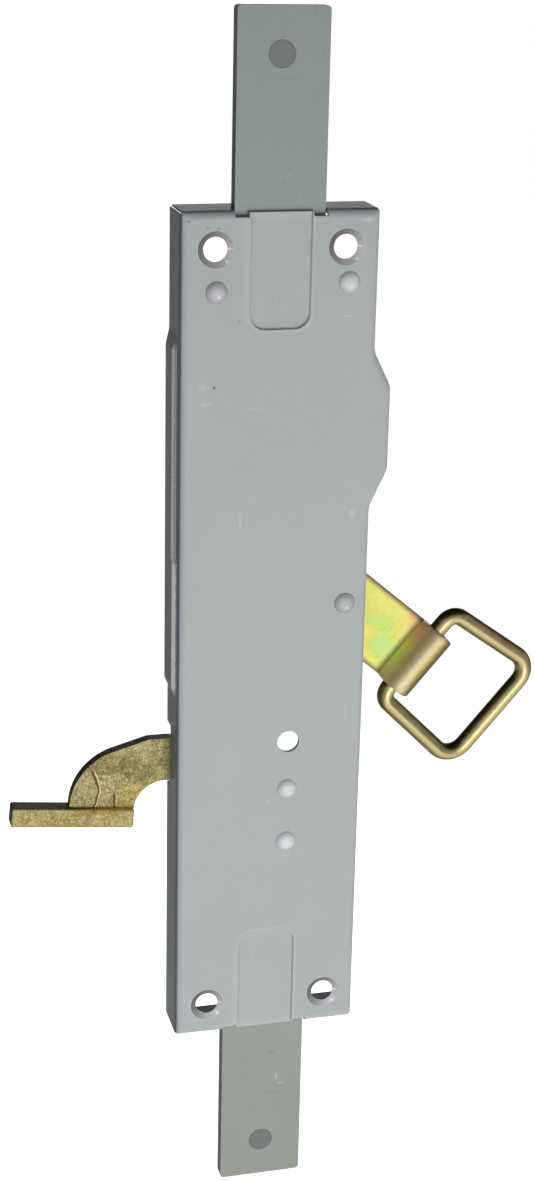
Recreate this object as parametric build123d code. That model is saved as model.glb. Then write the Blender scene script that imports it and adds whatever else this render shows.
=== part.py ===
from build123d import *

import math
import os

os.makedirs("parts", exist_ok=True)

# Shutter lock: a folded tray case with two flat bolts, a pull handle with a ring, and a cast claw.
# Frame: X to the right, Z up, the front plate faces -Y and the open back faces +Y.
# The origin is the centre of the four fixing holes, on the outer face of the front plate.
# Sizes are in millimetres.

# Case
case_width = 66.0
case_height = 295.0
sheet = 1.5
fold_radius = 3.0
plan_corner_radius = 1.2
seam_width = 0.4
seam_start = 2.0
seam_length = 8.0

# Bulge of the right side, with the heights of its two ramps
bulge_out = 5.9
bulge_top = 100.5
bulge_flat_top = 88.5
bulge_flat_bottom = 60.0
bulge_bottom = 47.5
bulge_radius = 7.0

# Panel pressed out of the left side, in two parts with different front edges
panel_out = 1.15
panel_top = 107.5
panel_step = 30.6
panel_bottom = -17.5
panel_top_ramp = 5.0
panel_bottom_ramp = 3.0
panel_front = 2.6
panel_edge_upper = 6.8
panel_edge_lower = 5.2

# Recessed tongues over the bolts, and the windows that the bolts pass
tongue_recess = 1.2
tongue_wall = 1.1
tongue_half_width = 10.1
tongue_radius = 5.3
upper_tongue_length = 38.3
lower_tongue_length = 39.5
tongue_lip = 0.5
window_clearance = 0.3
notch_depth = 2.0
notch_gap = 0.5

# Countersunk fixing holes, from the case's outline
fixing_from_side = 11.5
fixing_from_end = 12.0
fixing_hole_radius = 4.0
fixing_sink_radius = 6.0
fixing_sink_depth = 1.0

# Plain hole for a blocking pin
pin_hole_x = 6.2
pin_hole_z = -35.5
pin_hole_radius = 3.9

# Bolts
bolt_width = 30.0
bolt_thickness = 5.0
bolt_gap = 0.1
upper_bolt_reach = 62.5
lower_bolt_reach = 63.8
bolt_corner_radius = 1.2
stroke = 20.0
plug_radius = 4.4
upper_plug_x = -0.5
lower_plug_x = 0.1
plug_from_end = 14.6

# Pivots and posts, from the upper bolt's edges, the case's sides and ends, or its centre
left_post_gap = 2.0
left_post_from_end = 25.6
right_post_off_middle = 0.45
right_post_from_end = 23.4
handle_pivot_from_side = 8.2
handle_pivot_z = 14.2
claw_pivot_x = 6.1
claw_pivot_z = -53.3
guide_post_x = 6.1
guide_post_z = -73.4
shank_radius = 3.0
head_radius = 3.65
head_height = 1.5
running_gap = 0.05
layer_gap = 0.3

# Guide bridge behind the upper bolt
bridge_thickness = 2.5
bridge_from_end = 18.0
bridge_height = 20.0
bridge_side_gap = 1.3
bridge_corner_radius = 3.0
post_shoulder_radius = 4.2
post_rear_head_radius = 4.5
post_rear_head_height = 1.2
hook_hole_radius = 1.7
hook_hole_rise = 3.7
right_hook_from_side = 6.0

# Handle lever with a rolled eye
handle_angle = -40.3
handle_swing = 41.0
handle_thickness = 3.0
handle_rear_gap = 1.7
strap_width = 25.2
strap_offset = -0.8
strap_edge_radius = 0.9
boss_radius = 11.6
inner_arm_tip_radius = 6.6
drive_arm_length = 28.6
eye_distance = 38.9
ring_wire_radius = 3.0
eye_clearance = 0.5
leaf_length = 6.6
leaf_sink = 0.08
spring_peg_radius = 13.0
spring_peg_angle = 159.5
handle_spacer_radius = 3.8
handle_washer_radius = 6.0
washer_thickness = 0.5
handle_head_radius = 4.8
handle_head_height = 0.9

# Slots that the handle and the claw come out of
slot_front_gap = 0.6
slot_wall_reach = 2.0
handle_slot_top = 27.2
handle_slot_bottom = -11.4
claw_slot_top = -31.0
claw_slot_bottom = -54.0

# Drive pin and its slots
drive_pin_radius = 3.0
drive_pin_head_rim = 1.2
drive_pin_head_height = 0.8
drive_slot_play = 0.2
slot_side_play = 0.6
pin_tip_gap = 0.3

# Pull ring, a trapezoid of round wire
ring_length = 40.9
ring_near_half = 19.5
ring_far_half = 22.8
ring_near_shift = 1.65
ring_far_shift = 1.3
ring_near_radius = 4.8
ring_far_radius = 7.3

# Reversing rocker
rocker_thickness = 2.6
rocker_pin_distance = 16.0
rocker_pin_radius = 2.5
rocker_pin_head_rim = 1.1
rocker_pin_head_height = 0.25
rocker_boss_radius = 7.2
rocker_tip_radius = 4.2
rocker_slot_play = 0.45

# Inner ends of the bolts
upper_shoulder_z = -3.0
tail_right = -2.0
tail_end_z = -50.5
lower_shoulder_z = -97.5
fork_left = -1.0
fork_top_z = -45.6
fork_slot_top_z = -49.6
fork_slot_play = 0.15
ear_reach = 5.6
ear_half_height = 6.2
inner_corner_radius = 1.5

# Guide washer behind the lower bolt
guide_washer_gap = 0.2
guide_washer_radius = 6.2
guide_washer_thickness = 1.5
guide_head_radius = 4.5
guide_head_height = 1.2

# Cast claw: the arm inside the case is thinner than the part outside
claw_front_gap = 1.3
claw_inner_thickness = 3.2
claw_outer_thickness = 4.2
claw_step_from_side = 5.0
claw_boss_radius = 7.2
claw_arm_top_z = -35.8
claw_arm_bottom_z = -51.6
claw_arm_left = 35.5
claw_arm_flat = 7.5
claw_arm_right = 12.9
claw_arm_slope = 0.28
claw_outer_radius = 21.5
claw_inner_radius = 11.0
claw_foot_left = 55.5
claw_foot_length = 42.9
claw_foot_height = 7.0
claw_foot_top_z = -56.8
claw_foot_slope = -5.7
claw_foot_lead = 1.9
claw_foot_thickness = 6.8
claw_edge_radius = 0.7
claw_washer_radius = 5.6
claw_head_radius = 4.6
claw_head_height = 0.8
claw_hook_z = -43.6

# Springs: closed tubes with the coil's outer shape, and wire hooks at both ends
coil_wire_radius = 0.6
coil_end_wall = 1.2
claw_coil_radius = 5.3
claw_coil_bottom_z = -14.0
handle_coil_radius = 4.4
handle_coil_length = 41.0
coil_below_hook = 10.2
coil_y_gap = 0.6
handle_coil_rear_gap = 0.4
hook_gap = 0.25
hook_rise = 4.0
hook_drop = 6.0
hook_end = 3.4

# Room left behind the rearmost rivet head
rear_gap = 0.45

# Layers behind the front plate, and the depth that they add up to
bolt_front = sheet + tongue_recess + bolt_gap
bolt_back = bolt_front + bolt_thickness
rocker_front = bolt_back + layer_gap
rocker_back = rocker_front + rocker_thickness
bridge_front = bolt_back + layer_gap
bridge_back = bridge_front + bridge_thickness
claw_front = rocker_back + claw_front_gap
claw_inner_back = claw_front + claw_inner_thickness
claw_outer_back = claw_front + claw_outer_thickness
claw_head_from = claw_inner_back + running_gap + washer_thickness
case_depth = claw_head_from + claw_head_height + rear_gap
handle_back = case_depth - handle_rear_gap
handle_front = handle_back - handle_thickness
handle_head_from = handle_back + running_gap + washer_thickness

# Places that follow the case's sides and ends
half_width = case_width / 2
half_height = case_height / 2
bolt_half = bolt_width / 2
inner_half = half_width - sheet
upper_bolt_end = half_height + upper_bolt_reach
lower_bolt_end = -half_height - lower_bolt_reach
upper_tongue_end = half_height - upper_tongue_length
lower_tongue_end = lower_tongue_length - half_height
left_post_x = -(bolt_half + left_post_gap + post_shoulder_radius)
left_post_z = half_height - left_post_from_end
right_post_x = (inner_half + bolt_half) / 2 - right_post_off_middle
right_post_z = half_height - right_post_from_end
handle_pivot_x = half_width - handle_pivot_from_side
bridge_top = half_height - bridge_from_end
bridge_bottom = bridge_top - bridge_height
bridge_left = bridge_side_gap - inner_half
bridge_right = inner_half - bridge_side_gap
left_hook_x = -(inner_half + bolt_half) / 2
right_hook_x = half_width - right_hook_from_side
hook_hole_z = bridge_bottom + hook_hole_rise
coil_top_z = hook_hole_z - coil_below_hook

# Half travels of the rocker and the handle, so that their pins rise and fall by the stroke
rocker_half_swing = math.degrees(math.asin(stroke / 2 / rocker_pin_distance))
drive_half_swing = math.degrees(math.asin(stroke / 2 / drive_arm_length))

# The rolled eye, and where the ring's bar lies in it
eye_inner = ring_wire_radius + eye_clearance
eye_outer = eye_inner + handle_thickness
eye_y = handle_back - eye_outer
ring_bar_offset = (eye_clearance - running_gap) / math.sqrt(2)
ring_bar_distance = eye_distance - ring_bar_offset
ring_bar_y = eye_y + ring_bar_offset
ring_tilt = math.degrees(math.asin((case_depth - ring_wire_radius - ring_bar_y) / ring_length))


def front(sketch, y_from, y_to):
    """Extrudes a sketch drawn as seen from the front, between two depths."""
    return extrude(Plane.XZ.offset(-y_from) * sketch, amount=-(y_to - y_from))


def round_bar(x, z, radius, y_from, y_to):
    """A cylinder along Y."""
    return front(Pos(x, z) * Circle(radius), y_from, y_to)


def ring_bar(x, z, radius, bore, y_from, y_to):
    """A washer or tube along Y."""
    return front(Pos(x, z) * (Circle(radius) - Circle(bore)), y_from, y_to)


def block(x_from, x_to, y_from, y_to, z_from, z_to):
    """A box between limits."""
    centre = Pos((x_from + x_to) / 2, (y_from + y_to) / 2, (z_from + z_to) / 2)
    return centre * Box(x_to - x_from, y_to - y_from, z_to - z_from)


def hull_of_circles(*circles):
    """The outline round some circles, each given as x, z and radius."""
    edges = [(Pos(x, z) * Circle(radius)).edges() for x, z, radius in circles]
    return make_hull([edge for group in edges for edge in group])


def polar(x, z, distance, angle):
    """The point at a distance and angle from another, as seen from the front."""
    turned = math.radians(angle)
    return x + distance * math.cos(turned), z + distance * math.sin(turned)


def dome_head(x, z):
    """A low rivet head on the front plate."""
    ball = (head_radius**2 + head_height**2) / (2 * head_height)
    cap = Pos(x, ball - head_height, z) * Sphere(ball)
    return cap & round_bar(x, z, head_radius, -head_height - 1, 0)


def case_outline():
    """The case as seen from the front, with the bulge of its right side."""
    right = half_width + bulge_out
    points = [
        (-half_width, -half_height),
        (half_width, -half_height),
        (half_width, bulge_bottom),
        (right, bulge_flat_bottom),
        (right, bulge_flat_top),
        (half_width, bulge_top),
        (half_width, half_height),
        (-half_width, half_height),
    ]
    face = make_face(Polyline(*points, close=True))
    ramp_corners = face.vertices().filter_by(lambda v: abs(v.Y) < half_height - 1)
    face = fillet(ramp_corners, bulge_radius)
    plan_corners = face.vertices().filter_by(lambda v: abs(v.Y) > half_height - 1)
    return fillet(plan_corners, plan_corner_radius)


def pressed_panel(front_edge_y, z_from, z_to, ramp_from, ramp_to):
    """A raised panel on the left side: a sloping front edge and ramped ends."""
    reach = half_width + panel_out
    section = make_face(
        Polyline(
            (-half_width + sheet, panel_front),
            (-half_width, panel_front),
            (-reach, front_edge_y),
            (-reach, case_depth),
            (-half_width + sheet, case_depth),
            close=True,
        )
    )
    length = extrude(Plane.XY.offset(z_from) * section, amount=z_to - z_from)
    side = make_face(
        Polyline(
            (-half_width + sheet, z_from),
            (-half_width, z_from),
            (-reach, z_from + ramp_from),
            (-reach, z_to - ramp_to),
            (-half_width, z_to),
            (-half_width + sheet, z_to),
            close=True,
        )
    )
    return length & front(side, 0, case_depth)


def tongue_shape(end_z, edge_z, grow):
    """A U-shaped tongue from an edge of the case to its rounded end."""
    width = 2 * (tongue_half_width + grow)
    towards_edge = 1 if edge_z > 0 else -1
    end = end_z - towards_edge * grow
    far = edge_z + towards_edge * fold_radius
    outline = Pos(0, (end + far) / 2) * Rectangle(width, abs(far - end))
    rounded = outline.vertices().filter_by(lambda v: abs(v.Y - end) < seam_width)
    return fillet(rounded, tongue_radius + grow)


def case_tongue(case, end_z, edge_z):
    """Presses one tongue into the front plate and opens the window for its bolt."""
    up = 1 if edge_z > 0 else -1
    pad = front(tongue_shape(end_z, edge_z, tongue_wall), sheet, sheet + tongue_recess)
    room = block(-half_width, half_width, 0, case_depth, -half_height, half_height)
    case = case + (pad & room)
    case = case - front(tongue_shape(end_z, edge_z, 0), -1, tongue_recess)
    opening = bolt_half + window_clearance
    window_back = bolt_back + window_clearance
    outside = edge_z + up * fold_radius
    window_z = sorted((edge_z - up * (sheet + tongue_lip), outside))
    tongue_back = sheet + tongue_recess
    case = case - block(-opening, opening, tongue_back, window_back, *window_z)
    notch_z = sorted((edge_z - up * notch_depth, outside))
    lip = tongue_half_width + notch_gap
    notch_back = tongue_back + bolt_gap
    case = case - block(-opening, -lip, -1, notch_back, *notch_z)
    case = case - block(lip, opening, -1, notch_back, *notch_z)
    tip_z = sorted((edge_z - up * tongue_lip, outside))
    return case - block(-opening, opening, -1, notch_back, *tip_z)


def corner_seams():
    """The open seams where two folded walls meet at each corner."""
    seams = []
    for side_x in (-1, 1):
        for side_z in (-1, 1):
            slit = Box(seam_length, case_depth, seam_width)
            place = Pos(side_x * half_width, seam_start + case_depth / 2, side_z * half_height)
            seams.append(place * Rot(0, -45 * side_x * side_z, 0) * slit)
    return seams


def fixing_positions():
    """The four fixing holes, as x and z."""
    return [
        (side_x * (half_width - fixing_from_side), side_z * (half_height - fixing_from_end))
        for side_x in (-1, 1)
        for side_z in (-1, 1)
    ]


def make_case():
    """The folded steel case with its holes, slots, tongues, bulge and panel."""
    outline = case_outline()
    shell = front(outline, 0, case_depth)
    shell = fillet(shell.edges().group_by(Axis.Y)[0], fold_radius)
    panel_parts = [
        (panel_edge_upper, panel_step, panel_top, 0, panel_top_ramp),
        (panel_edge_lower, panel_bottom, panel_step, panel_bottom_ramp, 0),
    ]
    for edge_y, z_from, z_to, ramp_from, ramp_to in panel_parts:
        shell = shell + pressed_panel(edge_y, z_from, z_to, ramp_from, ramp_to)
    hollow = front(offset(outline, -sheet, kind=Kind.INTERSECTION), sheet, case_depth + 1)
    hollow = fillet(hollow.edges().group_by(Axis.Y)[0], fold_radius - sheet)
    shell = shell - hollow
    for edge_y, z_from, z_to, ramp_from, ramp_to in panel_parts:
        pressed = pressed_panel(edge_y, z_from, z_to, ramp_from, ramp_to)
        shell = shell - Pos(sheet, 0, 0) * pressed
    shell = case_tongue(shell, upper_tongue_end, half_height)
    shell = case_tongue(shell, lower_tongue_end, -half_height)
    for x, z in fixing_positions():
        shell = shell - round_bar(x, z, fixing_hole_radius, -1, sheet + 1)
        slope = (fixing_sink_radius - fixing_hole_radius) / fixing_sink_depth
        sink = Cone(fixing_hole_radius, fixing_sink_radius + slope, fixing_sink_depth + 1)
        middle_y = (fixing_sink_depth - 1) / 2
        shell = shell - Pos(x, middle_y, z) * Rot(90, 0, 0) * sink
    shell = shell - round_bar(pin_hole_x, pin_hole_z, pin_hole_radius, -1, sheet + 1)
    posts = [
        (left_post_x, left_post_z),
        (right_post_x, right_post_z),
        (handle_pivot_x, handle_pivot_z),
        (claw_pivot_x, claw_pivot_z),
        (guide_post_x, guide_post_z),
    ]
    for x, z in posts:
        shell = shell - round_bar(x, z, shank_radius, -1, sheet + 1)
    back = case_depth + 1
    inside = inner_half - slot_wall_reach
    outside = half_width + slot_wall_reach
    handle_slot_front = handle_front - slot_front_gap
    claw_slot_front = claw_front - slot_front_gap
    shell = shell - block(inside, outside, handle_slot_front, back, handle_slot_bottom, handle_slot_top)
    shell = shell - block(-outside, -inside, claw_slot_front, back, claw_slot_bottom, claw_slot_top)
    for seam in corner_seams():
        shell = shell - seam
    return shell


def bolt_slot(centre_x, centre_z, length, height):
    """A level slot with round ends."""
    return Pos(centre_x, centre_z) * SlotOverall(length, height)


def drive_pin_point(turn):
    """Where the drive pin is when the handle has swung by a number of degrees."""
    angle = 180 - drive_half_swing + turn
    return polar(handle_pivot_x, handle_pivot_z, drive_arm_length, angle)


def drive_slot():
    """The slot in the upper bolt that the drive pin slides in."""
    rest_x, rest_z = drive_pin_point(0)
    far_x = handle_pivot_x - drive_arm_length
    reach = drive_pin_radius + slot_side_play
    length = abs(rest_x - far_x) + 2 * reach
    height = 2 * (drive_pin_radius + drive_slot_play)
    return bolt_slot((rest_x + far_x) / 2, rest_z, length, height)


def rocker_pin_point(side):
    """Where a rocker pin is at rest: the left one is up and the right one is down."""
    angle = 180 - rocker_half_swing if side < 0 else -rocker_half_swing
    return polar(claw_pivot_x, claw_pivot_z, rocker_pin_distance, angle)


def rocker_slot(side):
    """The slot in a bolt's inner end that a rocker pin slides in."""
    rest_x, rest_z = rocker_pin_point(side)
    far_x = claw_pivot_x + side * rocker_pin_distance
    reach = rocker_pin_radius + slot_side_play
    length = abs(rest_x - far_x) + 2 * reach
    height = 2 * (rocker_pin_radius + rocker_slot_play)
    return bolt_slot((rest_x + far_x) / 2, rest_z, length, height)


def make_upper_bolt():
    """The upper bolt: a flat bar whose inner end narrows to a tail."""
    bar = make_face(
        Polyline(
            (-bolt_half, upper_bolt_end),
            (bolt_half, upper_bolt_end),
            (bolt_half, upper_shoulder_z),
            (tail_right, upper_shoulder_z),
            (tail_right, tail_end_z),
            (-bolt_half, tail_end_z),
            close=True,
        )
    )
    ends = bar.vertices().filter_by(lambda v: v.Y > upper_bolt_end - 1)
    bar = fillet(ends, bolt_corner_radius)
    inner = bar.vertices().filter_by(lambda v: v.Y < upper_shoulder_z + 1)
    bar = fillet(inner, inner_corner_radius)
    plate = front(bar - drive_slot() - rocker_slot(-1), bolt_front, bolt_back)
    plug_z = upper_bolt_end - plug_from_end
    return plate - round_bar(upper_plug_x, plug_z, plug_radius, bolt_front - 1, bolt_back + 1)


def make_lower_bolt():
    """The lower bolt: its inner end is a slotted strip with an ear on the right."""
    ear_x, ear_z = rocker_pin_point(1)
    ear_right = claw_pivot_x + rocker_pin_distance + ear_reach
    bar = make_face(
        Polyline(
            (-bolt_half, lower_bolt_end),
            (bolt_half, lower_bolt_end),
            (bolt_half, ear_z - ear_half_height),
            (ear_right, ear_z - ear_half_height),
            (ear_right, ear_z + ear_half_height),
            (bolt_half, ear_z + ear_half_height),
            (bolt_half, fork_top_z),
            (fork_left, fork_top_z),
            (fork_left, lower_shoulder_z),
            (-bolt_half, lower_shoulder_z),
            close=True,
        )
    )
    ends = bar.vertices().filter_by(lambda v: v.Y < lower_bolt_end + 1)
    bar = fillet(ends, bolt_corner_radius)
    inner = bar.vertices().filter_by(lambda v: v.Y > lower_bolt_end + plug_from_end)
    bar = fillet(inner, inner_corner_radius)
    slot_half = shank_radius + fork_slot_play
    slot_bottom = guide_post_z - stroke - slot_half - slot_side_play
    slot_length = fork_slot_top_z - slot_bottom
    slot_middle = (fork_slot_top_z + slot_bottom) / 2
    guide = Pos(guide_post_x, slot_middle) * Rot(0, 0, 90) * SlotOverall(slot_length, 2 * slot_half)
    plate = front(bar - guide - rocker_slot(1), bolt_front, bolt_back)
    plug_z = lower_bolt_end + plug_from_end
    return plate - round_bar(lower_plug_x, plug_z, plug_radius, bolt_front - 1, bolt_back + 1)


def make_plug(x, z):
    """A pin riveted flush into a bolt."""
    return round_bar(x, z, plug_radius, bolt_front, bolt_back)


def make_bridge_rivet(x, z):
    """A shouldered rivet that holds the guide bridge off the front plate."""
    rivet = dome_head(x, z) + round_bar(x, z, shank_radius, 0, bridge_back)
    rivet = rivet + round_bar(x, z, post_shoulder_radius, sheet, bridge_front)
    rear = round_bar(x, z, post_rear_head_radius, bridge_back, bridge_back + post_rear_head_height)
    return rivet + rear


def make_bridge():
    """The plate that keeps the upper bolt in the case and carries both springs."""
    width = bridge_right - bridge_left
    height = bridge_top - bridge_bottom
    centre = Pos((bridge_left + bridge_right) / 2, (bridge_top + bridge_bottom) / 2)
    plate = centre * RectangleRounded(width, height, bridge_corner_radius)
    for x, z in ((left_post_x, left_post_z), (right_post_x, right_post_z)):
        plate = plate - Pos(x, z) * Circle(shank_radius)
    for x in (left_hook_x, right_hook_x):
        plate = plate - Pos(x, hook_hole_z) * Circle(hook_hole_radius)
    return front(plate, bridge_front, bridge_back)


def eye_profile():
    """The rolled eye and the outer strap from the side: distance along the strap, and depth."""
    middle = eye_inner + handle_thickness / 2
    leaf_x = eye_distance - leaf_length
    leaf_y = handle_front - handle_thickness / 2 - leaf_sink
    to_leaf = math.hypot(leaf_x - eye_distance, leaf_y - eye_y)
    leaf_turn = math.degrees(math.atan2(leaf_y - eye_y, leaf_x - eye_distance))
    tangent_turn = leaf_turn + math.degrees(math.acos(middle / to_leaf))
    wedge = [
        (eye_distance, eye_y),
        (eye_distance, eye_y + 2 * eye_outer),
        polar(eye_distance, eye_y, 3 * eye_outer, 135),
        polar(eye_distance, eye_y, 3 * eye_outer, 180),
        polar(eye_distance, eye_y, 2 * eye_outer, tangent_turn),
    ]
    curl = Pos(eye_distance, eye_y) * (Circle(eye_outer) - Circle(eye_inner))
    curl = curl - make_face(Polyline(*wedge, close=True))
    tangent_x, tangent_y = polar(eye_distance, eye_y, middle, tangent_turn)
    run = math.hypot(leaf_x - tangent_x, leaf_y - tangent_y)
    turn = math.degrees(math.atan2(leaf_y - tangent_y, leaf_x - tangent_x))
    centre = Pos((leaf_x + tangent_x) / 2, (leaf_y + tangent_y) / 2)
    leaf = centre * Rot(0, 0, turn) * Rectangle(run, handle_thickness)
    strap = Pos(eye_distance / 2, handle_front + handle_thickness / 2)
    strap = strap * Rectangle(eye_distance, handle_thickness)
    return curl + leaf + strap


def make_handle():
    """The handle lever: inner arm, pivot boss, strap and rolled eye."""
    tip_x, tip_z = drive_pin_point(0)
    inner = hull_of_circles(
        (handle_pivot_x, handle_pivot_z, boss_radius),
        (tip_x, tip_z, inner_arm_tip_radius),
    )
    lever = front(inner, handle_front, handle_back)
    half = strap_width / 2
    along = extrude(Plane.XY.offset(strap_offset - half) * eye_profile(), amount=strap_width)
    long_edges = along.edges().filter_by(GeomType.LINE).filter_by(Axis.X)
    rear_edges = long_edges.filter_by(lambda e: e.center().Y > handle_back - running_gap)
    along = fillet(rear_edges, strap_edge_radius)
    strap = Pos(handle_pivot_x, 0, handle_pivot_z) * Rot(0, -handle_angle, 0) * along
    lever = lever + strap
    pivot_bore = shank_radius + running_gap
    lever = lever - round_bar(handle_pivot_x, handle_pivot_z, pivot_bore, 0, case_depth)
    lever = lever - round_bar(tip_x, tip_z, drive_pin_radius, 0, case_depth)
    peg_x, peg_z = spring_peg_point()
    return lever - round_bar(peg_x, peg_z, hook_hole_radius, handle_front - 1, handle_back + 1)


def spring_peg_point():
    """The hole in the handle's inner arm that the return spring hooks into."""
    return polar(handle_pivot_x, handle_pivot_z, spring_peg_radius, spring_peg_angle)


def make_drive_pin():
    """The pin riveted into the inner arm, which moves the upper bolt."""
    x, z = drive_pin_point(0)
    head_radius_behind = drive_pin_radius + drive_pin_head_rim
    rear = round_bar(x, z, head_radius_behind, handle_back, handle_back + drive_pin_head_height)
    return round_bar(x, z, drive_pin_radius, bolt_front + pin_tip_gap, handle_back) + rear


def ring_corners():
    """The ring's corners in its own plane: distance from the eye, distance along the eye, radius."""
    near_low = ring_near_shift - ring_near_half
    near_high = ring_near_shift + ring_near_half
    far_low = ring_far_shift - ring_far_half
    far_high = ring_far_shift + ring_far_half
    return [
        (0, near_low, ring_near_radius),
        (0, near_high, ring_near_radius),
        (ring_length, far_high, ring_far_radius),
        (ring_length, far_low, ring_far_radius),
    ]


def ring_plane():
    """The ring's plane: local x runs away from the eye, and local y runs along the eye."""
    turned = math.radians(handle_angle)
    along = Vector(math.cos(turned), 0, math.sin(turned))
    across = Vector(-math.sin(turned), 0, math.cos(turned))
    origin = Vector(handle_pivot_x, ring_bar_y, handle_pivot_z)
    origin = origin + along * ring_bar_distance + across * strap_offset
    tilt = math.radians(ring_tilt)
    outward = along * math.cos(tilt) + Vector(0, math.sin(tilt), 0)
    return Plane(origin=origin, x_dir=outward, z_dir=outward.cross(across))


def make_ring():
    """The pull ring: one closed loop of round wire with rounded corners."""
    corners = ring_corners()
    outline = make_face(Polyline(*[(x, y) for x, y, r in corners], close=True))
    for x, y, radius in corners:
        near = outline.vertices().sort_by_distance((x, y, 0))[0]
        outline = fillet(near, radius)
    path = outline.wire()
    start = path @ 0
    heading = path % 0
    section = Plane(origin=start, z_dir=heading) * Circle(ring_wire_radius)
    loop = sweep(section, path=path)
    return ring_plane() * loop


def make_rocker():
    """The reversing rocker, which moves the lower bolt against the upper one."""
    left_x, left_z = rocker_pin_point(-1)
    right_x, right_z = rocker_pin_point(1)
    boss = (claw_pivot_x, claw_pivot_z, rocker_boss_radius)
    plate = hull_of_circles(boss, (left_x, left_z, rocker_tip_radius))
    plate = plate + hull_of_circles(boss, (right_x, right_z, rocker_tip_radius))
    plate = plate - Pos(claw_pivot_x, claw_pivot_z) * Circle(shank_radius + running_gap)
    for x, z in ((left_x, left_z), (right_x, right_z)):
        plate = plate - Pos(x, z) * Circle(rocker_pin_radius)
    return front(plate, rocker_front, rocker_back)


def make_rocker_pins():
    """The two pins riveted into the rocker's arms."""
    pins = []
    rim = rocker_pin_radius + rocker_pin_head_rim
    for side in (-1, 1):
        x, z = rocker_pin_point(side)
        pin = round_bar(x, z, rocker_pin_radius, bolt_front + pin_tip_gap, rocker_back)
        pin = pin + round_bar(x, z, rim, rocker_back, rocker_back + rocker_pin_head_height)
        pins.append(pin)
    return Compound(children=pins)


def foot_top(x):
    """The height of the claw foot's upper side."""
    return claw_foot_top_z + (x + half_width + claw_foot_left) * math.tan(math.radians(claw_foot_slope))


def claw_arm_outline():
    """The claw's arm as seen from the front: a bar from the boss, bent down to the foot."""
    left = -half_width - claw_arm_left
    right = -half_width - claw_arm_right
    corner_z = claw_arm_top_z - claw_arm_slope * (claw_arm_left - claw_arm_flat)
    overlap = claw_foot_height - claw_edge_radius
    arm = make_face(
        Polyline(
            (claw_pivot_x, claw_pivot_z + claw_boss_radius),
            (-half_width, claw_arm_top_z),
            (-half_width - claw_arm_flat, claw_arm_top_z),
            (left, corner_z),
            (left, foot_top(left) - overlap),
            (right, foot_top(right) - overlap),
            (right, claw_arm_bottom_z),
            (-half_width, claw_arm_bottom_z),
            (claw_pivot_x, claw_pivot_z - claw_boss_radius),
            close=True,
        )
    )
    outer = arm.vertices().sort_by_distance((left, corner_z, 0))[0]
    arm = fillet(outer, claw_outer_radius)
    inner = arm.vertices().sort_by_distance((right, claw_arm_bottom_z, 0))[0]
    arm = fillet(inner, claw_inner_radius)
    bends = arm.vertices().filter_by(lambda v: abs(v.X + half_width) < running_gap)
    return fillet(bends, claw_boss_radius)


def make_claw():
    """The cast claw: pivot boss, curved arm and level foot."""
    arm = front(claw_arm_outline(), claw_front, claw_outer_back)
    arm = arm + round_bar(claw_pivot_x, claw_pivot_z, claw_boss_radius, claw_front, claw_inner_back)
    step_x = claw_step_from_side - half_width
    arm = arm - block(step_x, half_width, claw_inner_back, case_depth, -half_height, 0)
    foot_y = claw_front - claw_foot_lead
    foot = block(0, claw_foot_length, foot_y, foot_y + claw_foot_thickness, -claw_foot_height, 0)
    foot = fillet(foot.edges(), claw_edge_radius)
    foot_left = -half_width - claw_foot_left
    foot = Pos(foot_left, 0, claw_foot_top_z) * Rot(0, -claw_foot_slope, 0) * foot
    claw = arm + foot
    bore = shank_radius + running_gap
    claw = claw - round_bar(claw_pivot_x, claw_pivot_z, bore, 0, case_depth)
    return claw - round_bar(left_hook_x, claw_hook_z, hook_hole_radius, 0, case_depth)


def make_handle_rivet():
    """The rivet that the handle turns on."""
    x, z = handle_pivot_x, handle_pivot_z
    rivet = dome_head(x, z) + round_bar(x, z, shank_radius, 0, handle_head_from)
    rear = round_bar(x, z, handle_head_radius, handle_head_from, handle_head_from + handle_head_height)
    return rivet + rear


def make_claw_rivet():
    """The rivet that the rocker and the claw turn on."""
    x, z = claw_pivot_x, claw_pivot_z
    rivet = dome_head(x, z) + round_bar(x, z, shank_radius, 0, claw_head_from)
    return rivet + round_bar(x, z, claw_head_radius, claw_head_from, claw_head_from + claw_head_height)


def make_guide_rivet():
    """The rivet that guides the lower bolt in its slot."""
    x, z = guide_post_x, guide_post_z
    head_from = bolt_back + guide_washer_gap + guide_washer_thickness
    rivet = dome_head(x, z) + round_bar(x, z, shank_radius, 0, head_from)
    return rivet + round_bar(x, z, guide_head_radius, head_from, head_from + guide_head_height)


def wire_run(points):
    """Round wire along straight runs with round joints."""
    run = None
    for start, end in zip(points, points[1:]):
        begin = Vector(*start)
        step = Vector(*end) - begin
        plane = Plane(origin=begin, z_dir=step)
        stretch = extrude(plane * Circle(coil_wire_radius), amount=step.length)
        run = stretch if run is None else run + stretch
    for point in points[1:-1]:
        run = run + Pos(*point) * Sphere(coil_wire_radius)
    return run


def coil_tube(top, bottom, radius):
    """The closed coil as a tube with thin ends, between two points on its axis."""
    start = Vector(*bottom)
    step = Vector(*top) - start
    plane = Plane(origin=start, z_dir=step)
    tube = extrude(plane * Circle(radius), amount=step.length)
    inner = Plane(origin=start + step.normalized() * coil_end_wall, z_dir=step)
    inner_radius = radius - 2 * coil_wire_radius
    return tube - extrude(inner * Circle(inner_radius), amount=step.length - 2 * coil_end_wall)


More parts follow.
